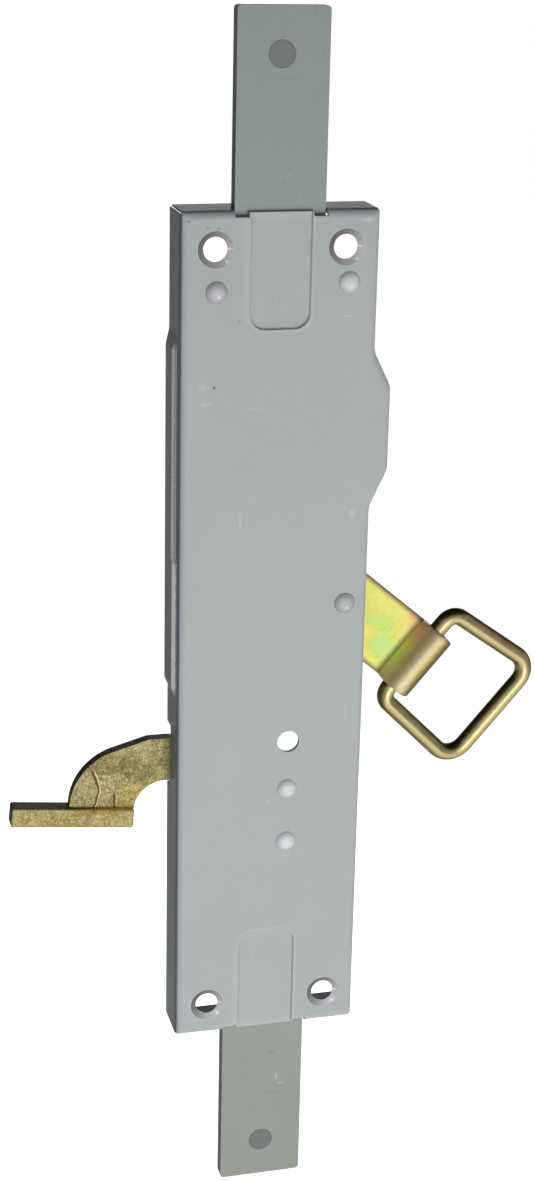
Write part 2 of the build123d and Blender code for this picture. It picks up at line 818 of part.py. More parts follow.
def make_claw_spring():
    """The long spring in the left channel, from the bridge to the claw."""
    x = left_hook_x
    coil_y = handle_back - claw_coil_radius - coil_y_gap
    front_y = bridge_front - coil_wire_radius - hook_gap
    rear_y = bridge_back + coil_wire_radius + hook_gap
    spring = coil_tube((x, coil_y, coil_top_z), (x, coil_y, claw_coil_bottom_z), claw_coil_radius)
    upper = [
        (x, coil_y, coil_top_z - coil_wire_radius),
        (x, front_y, coil_top_z + hook_rise),
        (x, front_y, hook_hole_z),
        (x, rear_y, hook_hole_z),
        (x, rear_y, hook_hole_z - hook_end),
    ]
    claw_front_y = claw_front - coil_wire_radius - hook_gap
    claw_rear_y = claw_inner_back + coil_wire_radius + hook_gap
    lower = [
        (x, coil_y, claw_coil_bottom_z + coil_wire_radius),
        (x, claw_front_y, claw_coil_bottom_z - hook_drop),
        (x, claw_front_y, claw_hook_z),
        (x, claw_rear_y, claw_hook_z),
        (x, claw_rear_y, claw_hook_z + hook_end),
    ]
    return spring + wire_run(upper) + wire_run(lower)


def make_handle_spring():
    """The return spring in the right channel, from the bridge to the handle's inner arm."""
    peg_x, peg_z = spring_peg_point()
    slope = (right_hook_x - peg_x) / (hook_hole_z - peg_z)

    def at(z):
        return peg_x + slope * (z - peg_z)

    low = coil_top_z - handle_coil_length
    coil_y = case_depth - handle_coil_radius - handle_coil_rear_gap
    spring = coil_tube((at(coil_top_z), coil_y, coil_top_z), (at(low), coil_y, low), handle_coil_radius)
    rear_y = bridge_back + coil_wire_radius + hook_gap
    front_y = bridge_front - coil_wire_radius - hook_gap
    upper = [
        (at(coil_top_z), coil_y, coil_top_z - coil_wire_radius),
        (right_hook_x, rear_y, coil_top_z + hook_rise),
        (right_hook_x, rear_y, hook_hole_z),
        (right_hook_x, front_y, hook_hole_z),
        (right_hook_x, front_y, hook_hole_z - hook_end),
    ]
    lever_front_y = handle_front - coil_wire_radius - hook_gap
    lever_rear_y = handle_back + coil_wire_radius + hook_gap
    lower = [
        (at(low), coil_y, low + coil_wire_radius),
        (at(low - hook_drop), lever_front_y, low - hook_drop),
        (peg_x, lever_front_y, peg_z),
        (peg_x, lever_rear_y, peg_z),
        (peg_x, lever_rear_y, peg_z + hook_end),
    ]
    return spring + wire_run(upper) + wire_run(lower)


def build_parts():
    """Makes every sub-part, by node name."""
    pivot = (handle_pivot_x, handle_pivot_z)
    claw_pivot = (claw_pivot_x, claw_pivot_z)
    guide_post = (guide_post_x, guide_post_z)
    handle_washer_from = handle_back + running_gap
    claw_washer_from = claw_inner_back + running_gap
    guide_washer_from = bolt_back + guide_washer_gap
    return {
        "case": make_case(),
        "upper_bolt": make_upper_bolt(),
        "upper_bolt_plug": make_plug(upper_plug_x, upper_bolt_end - plug_from_end),
        "lower_bolt": make_lower_bolt(),
        "lower_bolt_plug": make_plug(lower_plug_x, lower_bolt_end + plug_from_end),
        "handle_lever": make_handle(),
        "drive_pin": make_drive_pin(),
        "pull_ring": make_ring(),
        "claw_lever": make_claw(),
        "rocker": make_rocker(),
        "rocker_pins": make_rocker_pins(),
        "guide_bridge": make_bridge(),
        "bridge_rivet_left": make_bridge_rivet(left_post_x, left_post_z),
        "bridge_rivet_right": make_bridge_rivet(right_post_x, right_post_z),
        "handle_rivet": make_handle_rivet(),
        "handle_spacer": ring_bar(*pivot, handle_spacer_radius, shank_radius, sheet, handle_front - running_gap),
        "handle_washer": ring_bar(
            *pivot,
            handle_washer_radius,
            shank_radius,
            handle_washer_from,
            handle_washer_from + washer_thickness,
        ),
        "claw_rivet": make_claw_rivet(),
        "claw_washer": ring_bar(
            *claw_pivot,
            claw_washer_radius,
            shank_radius,
            claw_washer_from,
            claw_washer_from + washer_thickness,
        ),
        "guide_rivet": make_guide_rivet(),
        "guide_washer": ring_bar(
            *guide_post,
            guide_washer_radius,
            shank_radius,
            guide_washer_from,
            guide_washer_from + guide_washer_thickness,
        ),
        "claw_spring": make_claw_spring(),
        "handle_spring": make_handle_spring(),
    }


for node, shape in build_parts().items():
    export_step(shape, f"parts/{node}.step")
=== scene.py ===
import math

import bmesh
import bpy
from bpy.props import FloatProperty, FloatVectorProperty, IntProperty, PointerProperty
from mathutils import Euler, Matrix, Vector


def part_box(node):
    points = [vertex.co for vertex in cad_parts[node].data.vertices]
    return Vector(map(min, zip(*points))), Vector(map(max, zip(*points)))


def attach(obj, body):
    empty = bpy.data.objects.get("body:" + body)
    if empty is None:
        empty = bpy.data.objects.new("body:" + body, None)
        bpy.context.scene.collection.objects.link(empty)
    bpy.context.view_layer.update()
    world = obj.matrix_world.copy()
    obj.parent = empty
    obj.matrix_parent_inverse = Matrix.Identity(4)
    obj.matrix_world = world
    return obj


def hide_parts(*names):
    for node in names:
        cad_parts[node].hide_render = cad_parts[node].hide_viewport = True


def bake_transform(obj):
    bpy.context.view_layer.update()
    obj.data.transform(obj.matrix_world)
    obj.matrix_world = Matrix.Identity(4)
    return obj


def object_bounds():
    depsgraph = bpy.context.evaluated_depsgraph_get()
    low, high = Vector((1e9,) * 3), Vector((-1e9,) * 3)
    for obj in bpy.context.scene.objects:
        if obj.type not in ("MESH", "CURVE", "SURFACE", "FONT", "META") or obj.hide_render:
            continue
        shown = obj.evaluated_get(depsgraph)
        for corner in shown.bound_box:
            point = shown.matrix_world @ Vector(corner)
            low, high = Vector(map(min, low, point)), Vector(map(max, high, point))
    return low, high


bl_info = {
    "name": "Shutter Lock",
    "version": (1, 0, 0),
    "blender": (4, 5, 0),
    "location": "View3D > Sidebar > Shutter Lock",
    "description": "Finishes, handle, springs and studio for a surface-fixed shutter lock",
    "category": "Object",
}

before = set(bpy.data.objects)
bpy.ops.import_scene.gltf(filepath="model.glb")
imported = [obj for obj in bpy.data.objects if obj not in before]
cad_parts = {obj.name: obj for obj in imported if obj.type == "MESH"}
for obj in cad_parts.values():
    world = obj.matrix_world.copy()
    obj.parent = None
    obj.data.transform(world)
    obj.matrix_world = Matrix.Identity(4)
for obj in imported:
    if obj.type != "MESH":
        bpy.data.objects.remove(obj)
cad_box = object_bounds()

# A millimetre in metres, and the places in millimetres that the finishes are laid out from
MM = 0.001
HANDLE_PIVOT = Vector((24.8, 0.0, 14.2))
HANDLE_ANGLE = math.radians(-40.3)
FIXING_X = 21.5
FIXING_Z = 135.5
TONGUE_HALF = 10.1
TONGUE_RADIUS = 5.3
UPPER_TONGUE_END = 109.2
LOWER_TONGUE_END = -108.0
EYE_ALONG = 38.9
EYE_DEPTH = 8.8
STRAP_OFFSET = 0.8
STRAP_HALF = 12.8

# Where the rolled strap takes over from the CAD lever, inside the case's side
STRAP_CUT_X = 31.0

# Springs, in millimetres: coils, hooks, and the holes and the peg that hold the hooks
COIL_TOP = 102.4
HOOK_TOP = 107.6
HOOK_TAIL = 3.4
BRIDGE_HOLE = 113.2
BRIDGE_FRONT = 7.25
BRIDGE_BACK = 11.45
CLAW_AXIS_X = -23.25
CLAW_AXIS_Y = 9.4
CLAW_COIL_END = -13.4
CLAW_HOOK_START = -21.0
CLAW_HOLE = (CLAW_AXIS_X, 11.15, -43.6)
HANDLE_AXIS_X = 27.0
HANDLE_AXIS_Y = 12.2
HANDLE_COIL_END = 62.6
HANDLE_HOOK_START = 55.5
HANDLE_PEG = Vector((12.62, 11.45, 18.75))

# Wire: its sides, a bend's radius in radii of the wire, and the share of it that is bent
WIRE_SIDES = 10
WIRE_BEND = 1.6
BEND_SHARE = 0.98

# Steps of the eye and of the strap's round edges, and the angle of a bend's step
EYE_STEPS = 72
EDGE_STEPS = 5
BEND_STEP = 0.3

# Shortest straight in metres, and smallest bend in radians, that the wire makes
LEAST_STRAIGHT = 1e-5
LEAST_BEND = 0.01

# Merge distances in metres, and the angle under which an edge is smooth
MERGE = 1e-6
FINE_MERGE = 1e-7
SMOOTH_ANGLE = math.radians(28.0)

# Stage, in metres: name, place and size of lamps; name, place, turn and half width of cards
LAMP_AIM = Vector((0.0, 0.0, -0.01))
LAMPS = (
    ("key", (0.14, -1.03, -0.24), 0.5),
    ("fill", (-0.5, -1.1, 0.1), 0.7),
    ("rear", (0.4, 1.0, 0.0), 0.9),
)
CARDS = (
    ("card_above", (0.0, 0.35, 0.5), (0.0, 0.0, 0.0), 0.9),
    ("card_left", (-0.75, 0.55, 0.15), (0.0, math.pi / 2, 0.0), 0.8),
)
FLOOR_HALF = 3.0
FLOOR_BACK = 1.2

# Camera: its place in metres, its axes, and its sensor's height and its lens in millimetres
CAMERA_PLACE = (-0.168445, -0.634286, 0.247016)
CAMERA_RIGHT = Vector((0.96898871, -0.24628911, 0.02006377))
CAMERA_DOWN = Vector((-0.06209501, -0.32128312, -0.94494517))
CAMERA_FORWARD = Vector((0.23917586, 0.91439534, -0.32661304))
CAMERA_SENSOR = 36.0
CAMERA_LENS = 62.89


# Sizes and colours that a user would change


def length_of(name, value, description):
    """A length in metres."""
    return FloatProperty(
        name=name, default=value, unit="LENGTH", subtype="DISTANCE", description=description
    )


def level_of(name, value, description):
    """A level of light."""
    return FloatProperty(name=name, default=value, min=0.0, description=description)


def colour_of(name, value, description):
    """A linear colour."""
    return FloatVectorProperty(
        name=name, default=value, size=3, min=0.0, max=1.0, subtype="COLOR", description=description
    )


class LockSprings(bpy.types.PropertyGroup):
    """Sizes of the two return springs."""

    wire: length_of("Wire", 1.2 * MM, "Diameter of the spring wire")
    claw_outside: length_of("Claw spring", 10.6 * MM, "Outside diameter of the claw's spring")
    handle_outside: length_of("Handle spring", 8.8 * MM, "Outside diameter of the handle's spring")
    pitch: length_of("Pitch", 1.9 * MM, "Distance from one turn to the next")
    steps: IntProperty(
        name="Steps", default=18, min=8, max=48, description="Steps in each turn of a coil"
    )


class LockHandle(bpy.types.PropertyGroup):
    """Sizes of the handle's strap and rolled eye."""

    width: length_of("Width", 25.2 * MM, "Width of the strap")
    thickness: length_of("Thickness", 3.0 * MM, "Thickness of the strap's steel")
    offset: length_of("Offset", -0.8 * MM, "How far the strap lies to one side of its pivot")
    eye_bore: length_of("Eye bore", 7.0 * MM, "Inside diameter of the rolled eye")
    edge: length_of("Edge round", 1.1 * MM, "Rounding of the strap's long edges")
    roll: FloatProperty(
        name="Roll",
        default=math.radians(302.0),
        subtype="ANGLE",
        unit="ROTATION",
        description="How far the end of the strap is rolled round",
    )


class LockColours(bpy.types.PropertyGroup):
    """Colours of the finishes."""

    case: colour_of("Case paint", (0.405, 0.437, 0.43), "Pale blue-grey paint of the case")
    # Painted highlight: the lighter, bluish band over the folds and edges
    fold_highlight: colour_of("Fold tint", (0.47, 0.475, 0.51), "Thin paint over the folds and edges")
    upper_bolt: colour_of("Upper bolt", (0.245, 0.283, 0.271), "Grey of the upper bolt")
    lower_bolt: colour_of("Lower bolt", (0.27, 0.29, 0.262), "Grey of the lower bolt")
    plug: colour_of("Plug", (0.113, 0.126, 0.121), "Ground end of the plugs in the bolts")
    rivet: colour_of("Rivet paint", (0.41, 0.42, 0.435), "Paint on the rivet heads")
    zinc_yellow: colour_of("Yellow zinc", (0.72, 0.7, 0.17), "Yellow of the plated strap")
    zinc_green: colour_of("Green zinc", (0.57, 0.66, 0.13), "Green play of colour in the plate")
    zinc_rose: colour_of("Rose zinc", (0.82, 0.38, 0.19), "Rose play of colour in the plate")
    bronze: colour_of("Ring bronze", (0.2, 0.158, 0.076), "Bronze-yellow plate of the ring")
    casting: colour_of("Casting", (0.33, 0.275, 0.126), "Rough plated casting of the claw")
    steel: colour_of("Bright steel", (0.5, 0.5, 0.49), "Pins, washers and springs")


class LockStudio(bpy.types.PropertyGroup):
    """Lamps and the levels that light the lock."""

    key_power: level_of("Key", 7.5, "Power of the key lamp in watts")
    fill_power: level_of("Fill", 2.0, "Power of the fill lamp in watts")
    rear_power: level_of("Rear", 6.5, "Power of the rear lamp in watts")
    ambient: level_of("Ambient", 0.24, "Level of the even light")
    floor_drop: length_of("Floor drop", 300 * MM, "From the lower bolt's end down to the floor")


# Shader maths, so that a material reads as an expression


class Value:
    """A socket in a material, with the usual arithmetic."""

    def __init__(self, finish, link):
        self.finish = finish
        self.link = link

    def maths(self, operation, *terms):
        return self.finish.node("ShaderNodeMath", {"operation": operation}, dict(enumerate(terms)))

    def __add__(self, other):
        return self.maths("ADD", self, other)

    def __radd__(self, other):
        return self.maths("ADD", other, self)

    def __sub__(self, other):
        return self.maths("SUBTRACT", self, other)

    def __rsub__(self, other):
        return self.maths("SUBTRACT", other, self)

    def __mul__(self, other):
        return self.maths("MULTIPLY", self, other)

    def __rmul__(self, other):
        return self.maths("MULTIPLY", other, self)

    def __truediv__(self, other):
        return self.maths("DIVIDE", self, other)

    def __pow__(self, other):
        return self.maths("POWER", self, other)

    def __abs__(self):
        return self.maths("ABSOLUTE", self)

    def high(self, other):
        return self.maths("MAXIMUM", self, other)

    def low(self, other):
        return self.maths("MINIMUM", self, other)

    def arctan(self, other):
        return self.maths("ARCTAN2", self, other)

    def sign(self):
        return self.maths("SIGN", self)

    def sine(self):
        return self.maths("SINE", self)


class Finish:
    """The nodes of one procedural material, or of a world."""

    def __init__(self, name, world=None):
        self.owner = world or bpy.data.materials.new(name)
        self.owner.use_nodes = True
        self.tree = self.owner.node_tree
        self.tree.nodes.clear()

    def node(self, kind, settings=None, inputs=None, output=0):
        """Any node, with its settings and the values or links of its sockets; returns an output."""
        made = self.tree.nodes.new(kind)
        for name, value in (settings or {}).items():
            if name == "stops":
                self.set_stops(made.color_ramp, value)
            else:
                setattr(made, name, value)
        for name, value in (inputs or {}).items():
            if isinstance(value, Value):
                self.tree.links.new(value.link, made.inputs[name])
            else:
                made.inputs[name].default_value = value
        return None if output is None else Value(self, made.outputs[output])

    def set_stops(self, ramp, stops):
        """Colour stops of a ramp, as place and linear colour."""
        while len(ramp.elements) > 1:
            ramp.elements.remove(ramp.elements[-1])
        for index, (place, colour) in enumerate(stops):
            stop = ramp.elements[0] if index == 0 else ramp.elements.new(place)
            stop.position = place
            stop.color = (*colour, 1.0)

    def place(self):
        """Where a point is on the piece, in millimetres."""
        spot = self.node("ShaderNodeTexCoord", output="Object")
        return self.node("ShaderNodeVectorMath", {"operation": "SCALE"}, {0: spot, "Scale": 1000.0})

    def axes(self, place):
        """The three coordinates of a point."""
        first = self.node("ShaderNodeSeparateXYZ", None, {0: place})
        return [Value(self, socket) for socket in first.link.node.outputs]

    def facing(self):
        """Which way the surface points, along the piece's three axes."""
        return self.axes(self.node("ShaderNodeTexCoord", output="Normal"))

    def stretch(self, place, x, y, z):
        """The same place with its axes scaled."""
        values = {0: place, 1: (x, y, z)}
        return self.node("ShaderNodeVectorMath", {"operation": "MULTIPLY"}, values)

    def noise(self, place, scale, detail=3.0, roughness=0.55, distortion=0.0):
        """Soft clouds from 0 to 1; scale is in cycles to the millimetre."""
        values = {"Vector": place, "Scale": scale, "Detail": detail}
        values |= {"Roughness": roughness, "Distortion": distortion}
        return self.node("ShaderNodeTexNoise", None, values)

    def cells(self, place, scale):
        """Distance to the nearest of many scattered points."""
        values = {"Vector": place, "Scale": scale}
        return self.node("ShaderNodeTexVoronoi", None, values, "Distance")

    def step(self, value, start, end):
        """Rises smoothly from 0 at start to 1 at end."""
        values = {"Value": value, "From Min": start, "From Max": end}
        return self.node("ShaderNodeMapRange", {"interpolation_type": "SMOOTHSTEP"}, values)

    def fall(self, value, start, end):
        """Falls smoothly from 1 at start to 0 at end."""
        return 1.0 - self.step(value, start, end)

    def band(self, value, start, full, fading, end):
        """Rises between the first two values, and falls between the last two."""
        return self.step(value, start, full) * self.fall(value, fading, end)

    def reach(self, across, up):
        """Distance from the point where both values are 0."""
        return (across * across + up * up) ** 0.5

    def spot(self, across, up, centre_x, centre_z, half_x, half_z):
        """A soft oval, 1 at its centre and 0 outside."""
        far = self.reach((across - centre_x) / half_x, (up - centre_z) / half_z)
        return self.fall(far, 0.35, 1.0)

    def spots(self, across, up, marks):
        """Several soft ovals as one."""
        whole, *others = (self.spot(across, up, *mark) for mark in marks)
        for oval in others:
            whole = whole.high(oval)
        return whole

    def ramp(self, value, stops):
        """A run of colours over a value from 0 to 1."""
        return self.node("ShaderNodeValToRGB", {"stops": stops}, {"Fac": value})

    def colour(self, first, second, share):
        """Mixes two colours by a share from 0 to 1."""
        values = {
            0: share,
            6: first if isinstance(first, Value) else (*first, 1.0),
            7: second if isinstance(second, Value) else (*second, 1.0),
        }
        return self.node("ShaderNodeMix", {"data_type": "RGBA"}, values, 2)

    def bump(self, height, strength, distance):
        """A normal from a height; the distance is in millimetres."""
        values = {"Height": height, "Strength": strength, "Distance": distance * MM}
        return self.node("ShaderNodeBump", None, values)

    def surface(self, **inputs):
        """The surface shader, with its inputs; returns the material."""
        names = {name.replace("_", " "): value for name, value in inputs.items()}
        shader = self.node("ShaderNodeBsdfPrincipled", None, names)
        return self.output(shader)

    def output(self, shader, kind="ShaderNodeOutputMaterial"):
        """Hands a shader to the output, and returns the material or world."""
        self.node(kind, None, {"Surface": shader}, None)
        return self.owner


def scaled(colour, factor):
    """A colour made lighter or darker."""
    return tuple(min(1.0, part * factor) for part in colour)


# Marks of use: the centre's x and z, then the half widths, in millimetres
CASE_SCUFFS = (
    (-25.3, 91.0, 2.2, 1.6),
    (-24.4, 85.4, 2.6, 0.7),
    (-12.3, 45.0, 0.6, 3.6),
    (26.4, 45.7, 1.5, 2.2),
    (26.4, -25.8, 0.8, 4.6),
    (28.6, 144.2, 2.6, 0.8),
    (-0.6, -57.4, 1.0, 0.8),
    (22.0, 113.0, 2.4, 0.5),
    (-8.0, 83.5, 3.2, 0.4),
)
CASE_SPECKS = (
    (-21.6, 90.9, 0.7, 0.8),
    (-30.3, 144.5, 0.5, 0.4),
    (-24.2, 142.5, 0.4, 0.4),
    (-20.7, 142.1, 0.4, 0.3),
    (-13.4, 112.2, 0.35, 0.35),
)
# Each bolt's scratches, then its smudges
BOLT_MARKS = {
    "upper_bolt": (
        (),
        ((1.5, 188.0, 6.0, 0.4), (2.4, 160.0, 0.8, 0.9), (1.6, 194.0, 0.9, 1.0)),
    ),
    "lower_bolt": (
        ((5.6, -170.6, 0.35, 2.4), (7.0, -173.4, 1.3, 0.35)),
        ((4.2, -177.0, 3.2, 0.5), (3.6, -160.0, 1.6, 1.4), (6.4, -176.5, 0.6, 0.5)),
    ),
}

# Runs of colour, as place and linear colour: countersinks and rolled eye, each with painted shade
# and painted highlights in it, and leaf of the strap
SUNK_SHADES = (
    (0.0, (0.13, 0.13, 0.125)),
    (0.3, (0.2, 0.195, 0.2)),
    (0.65, (0.33, 0.32, 0.34)),
    (1.0, (0.47, 0.46, 0.49)),
)
EYE_SHADES = (
    (0.15, (0.05, 0.038, 0.015)),
    (0.25, (0.12, 0.095, 0.03)),
    (0.3, (0.27, 0.215, 0.075)),
    (0.335, (0.44, 0.355, 0.135)),
    (0.36, (0.6, 0.48, 0.22)),
    (0.39, (0.7, 0.58, 0.31)),
    (0.44, (0.62, 0.53, 0.28)),
    (0.475, (0.46, 0.39, 0.22)),
    (0.505, (0.34, 0.275, 0.15)),
    (0.55, (0.29, 0.23, 0.105)),
    (0.6, (0.26, 0.21, 0.085)),
)
LEAF_SHADES = (
    (0.05, (0.9, 0.68, 0.34)),
    (0.3, (0.8, 0.88, 0.22)),
    (0.62, (0.92, 0.84, 0.22)),
    (0.95, (0.9, 0.52, 0.28)),
)

# How light each rivet's head is painted, as a factor on the rivet colour
RIVET_BRIGHTNESS = {
    "bridge_rivet_left": 0.86,
    "bridge_rivet_right": 1.06,
    "handle_rivet": 0.8,
    "claw_rivet": 1.1,
    "guide_rivet": 1.14,
}


# Finishes


def case_paint(colours):
    """Satin paint over folded sheet, with scuffs, painted highlights on the folds and beside the
    tongues, painted shade on the left side, and unpainted countersinks with painted shade and
    glints.
    """
    f = Finish("case_paint")
    place = f.place()
    x, y, z = f.axes(place)
    paint = colours.case

    # Even paint with a fine grain
    cloud = f.noise(place, 0.022, 3.0)
    fine = f.noise(f.stretch(place, 1.0, 1.0, 0.35), 1.1, 2.0)
    grain = f.noise(place, 2.4, 2.0, 0.6)
    base = f.colour(scaled(paint, 0.93), scaled(paint, 1.06), cloud)
    base = f.colour(base, scaled(paint, 1.12), f.step(fine, 0.45, 0.8) * 0.4)
    base = f.colour(base, scaled(paint, 0.84), f.step(grain, 0.5, 0.7) * 0.35)

    # Painted highlights: strips left of the tongues, and the tongues' walls painted light where
    # they lie in shade
    front = f.fall(y, 2.4, 3.4)
    left_of_tongue = f.band(x, -12.9, -12.2, -11.2, -10.7)
    upper_strip = left_of_tongue * f.step(z, 112.0, 116.0)
    lower_strip = left_of_tongue * f.fall(z, -114.0, -111.0)
    base = f.colour(base, scaled(paint, 1.1), upper_strip.high(lower_strip) * front * 0.5)
    pressed = f.band(y, 0.15, 0.35, 1.0, 1.15) * f.fall(abs(x), 13.0, 13.5)
    pressed = pressed * f.step(abs(z), 100.0, 102.0)
    base = f.colour(base, (0.93, 0.95, 0.95), pressed * 0.95)

    # Painted shade as a fine outline of the tongues, with a painted highlight beside it, from the
    # distance to their rounded ends; the painted shade is fainter towards the right
    upper_half = f.step(z, -1.0, 1.0)
    past_end = (UPPER_TONGUE_END - z) * upper_half + (z - LOWER_TONGUE_END) * (1.0 - upper_half)
    corner_x = abs(x) - (TONGUE_HALF - TONGUE_RADIUS)
    corner_z = past_end + TONGUE_RADIUS
    rounded = f.reach(corner_x.high(0.0), corner_z.high(0.0))
    edge = rounded + corner_x.high(corner_z).low(0.0) - TONGUE_RADIUS
    halo = f.band(edge, 0.0, 0.3, 0.7, 1.5) * front
    base = f.colour(base, scaled(paint, 1.14), halo * 0.5)
    outline = f.fall(abs(edge + 0.25), 0.1, 0.4) * front * (1.0 - pressed)
    fainter_right = 0.75 - f.step(x, -7.5, 1.0) * 0.6
    base = f.colour(base, scaled(paint, 0.66), outline * fainter_right)

    # Painted highlight: a lighter, bluish band on the folds, which follow the bulge
    bulged = f.band(z, 47.5, 60.0, 88.5, 100.5) * f.step(x, 0.0, 1.0)
    near_side = f.step(abs(x) - bulged * 5.9, 29.6, 31.8)
    near_end = f.step(abs(z), 143.6, 146.2)
    base = f.colour(base, colours.fold_highlight, near_side.high(near_end) * front * 0.6)

    # Left side in painted shade, with painted highlights on the ledge of its pressed-out panel and
    # along its crest, a dotted rough band on the ledge, and painted shade in the crease in front of
    # it
    wall = f.step(y, 1.6, 2.6) * f.fall(x, -32.9, -32.2)
    wall_shade = f.colour((0.22, 0.28, 0.27), (0.25, 0.28, 0.35), f.noise(place, 0.05, 2.0))
    base = f.colour(base, wall_shade, wall * 0.85)
    outer = f.band(z, -17.0, -13.0, 102.0, 106.0) * f.fall(x, -33.1, -33.02)
    behind_crest = y - (f.step(z, 29.6, 31.6) * 1.6 + 5.2)
    ledge = f.band(behind_crest, -2.4, -2.0, 0.0, 0.5) * outer
    base = f.colour(base, (1.0, 1.0, 1.0), ledge * 0.98)
    dots = f.step(f.noise(place, 1.1, 2.0), 0.42, 0.55)
    dotted = f.band(behind_crest, -2.35, -2.15, -2.0, -1.8) * outer * dots
    base = f.colour(base, (0.2, 0.21, 0.22), dotted * 0.8)
    bright = f.band(behind_crest, -3.3, -3.1, -2.6, -2.4) * outer
    base = f.colour(base, (0.95, 0.96, 0.9), bright)
    crease = f.band(y, 0.7, 1.1, 1.9, 2.5) * f.fall(x, -32.6, -32.0)
    base = f.colour(base, (0.07, 0.085, 0.13), crease * 0.75)

    # Inside of the tray, with painted shade on its lower end
    inside = f.step(y, 1.2, 1.45) * f.fall(abs(x), 31.4, 31.6) * f.fall(abs(z), 145.9, 146.1)
    base = f.colour(base, scaled(paint, 0.8), inside * 0.5)
    lower_end = f.band(z, -146.4, -146.2, -145.9, -145.6) * f.step(y, 1.6, 2.2)
    base = f.colour(base, (0.04, 0.045, 0.045), lower_end * 0.9)

    # Scuffs, specks of dirt and dust
    ragged = f.step(f.noise(f.stretch(place, 1.0, 1.0, 2.4), 1.3, 3.0, 0.7), 0.46, 0.6)
    scuffed = f.spots(x, z, CASE_SCUFFS) * (0.1 + 0.9 * ragged) * front
    base = f.colour(base, (0.7, 0.73, 0.75), scuffed * 0.5)
    specked = f.spots(x, z, CASE_SPECKS) * front
    base = f.colour(base, (0.09, 0.1, 0.09), specked * 0.8)
    dust = f.step(f.cells(place, 0.16), 0.05, 0.025)
    base = f.colour(base, scaled(paint, 0.72), dust * 0.5)

    # Unpainted, turned countersinks, with painted shade towards the upper left, painted light
    # towards the lower right, and painted glints
    off_x = x - x.sign() * FIXING_X
    off_z = z - z.sign() * FIXING_Z
    from_hole = f.reach(off_x, off_z)
    sunk = f.fall(from_hole, 5.85, 6.0)
    turned = (from_hole * 16.0).sine() * 0.5 + 0.5
    lower_right = (off_x * 0.75 - off_z * 0.66) / (from_hole + 0.1)
    painted_shading = f.ramp(lower_right * 0.5 + 0.5 + (turned - 0.5) * 0.12, SUNK_SHADES)
    glint = f.spots(off_x, off_z, ((4.4, 0.2, 1.6, 0.5), (3.7, -3.9, 1.0, 0.9)))
    painted_shading = f.colour(painted_shading, (0.72, 0.71, 0.74), glint * 0.8)
    base = f.colour(base, painted_shading, sunk)
    rim = f.band(from_hole, 5.9, 6.02, 6.05, 6.25)
    base = f.colour(base, scaled(paint, 1.3), rim * front * 0.5)

    peel = f.noise(place, 1.3, 2.0, 0.6)
    return f.surface(
        Base_Color=base,
        Roughness=0.5 - sunk * 0.16 + (cloud - 0.5) * 0.1,
        Metallic=sunk * 0.15,
        Specular_IOR_Level=0.1,
        Normal=f.bump(peel * 0.5 + turned * sunk * 0.5, 0.35, 0.06),
    )


def bolt_grey(name, colour, scratches, smudges):
    """Matt zinc-grey flat bar with faint drawing lines and small marks."""
    f = Finish(name)
    place = f.place()
    x, y, z = f.axes(place)
    cloud = f.noise(place, 0.045, 4.0)
    drawn = f.noise(f.stretch(place, 1.0, 1.0, 0.05), 2.2, 2.0)
    base = f.colour(scaled(colour, 0.92), scaled(colour, 1.07), cloud)
    base = f.colour(base, scaled(colour, 1.14), f.step(drawn, 0.5, 0.75) * 0.4)
    speck = f.step(f.cells(place, 0.22), 0.09, 0.04)
    base = f.colour(base, scaled(colour, 0.6), speck * 0.5)
    arris = f.step(abs(x), 14.4, 14.9) * f.fall(y, 2.9, 3.3)
    base = f.colour(base, scaled(colour, 1.2), arris * 0.4)
    # Painted shade: the side faces are made near black
    sheared_and_shade = f.step(abs(x), 14.93, 14.99)
    base = f.colour(base, (0.045, 0.05, 0.07), sheared_and_shade * 0.9)
    for mark in scratches:
        base = f.colour(base, (0.62, 0.63, 0.6), f.spot(x, z, *mark) * 0.5)
    for mark in smudges:
        base = f.colour(base, scaled(colour, 0.7), f.spot(x, z, *mark) * 0.4)
    return f.surface(
        Base_Color=base,
        Roughness=0.52 + (cloud - 0.5) * 0.15,
        Metallic=0.1,
        Specular_IOR_Level=0.1,
        Normal=f.bump(drawn * 0.6 + cloud * 0.4, 0.25, 0.05),
    )


def plug_steel(name, colour, centre):
    """The ground end of a pin riveted flush, with a darker seam round it."""
    f = Finish(name)
    place = f.place()
    x, _, z = f.axes(place)
    out = f.reach(x - centre.x, z - centre.z)
    ground = f.noise(f.stretch(place, 0.4, 1.0, 2.6), 1.4, 3.0)
    base = f.colour(scaled(colour, 0.85), scaled(colour, 1.2), ground)
    base = f.colour(base, scaled(colour, 0.55), f.step(out, 3.9, 4.35) * 0.7)
    return f.surface(
        Base_Color=base,
        Roughness=0.46 + ground * 0.1,
        Metallic=0.3,
        Specular_IOR_Level=0.3,
        Normal=f.bump(ground, 0.3, 0.05),
    )


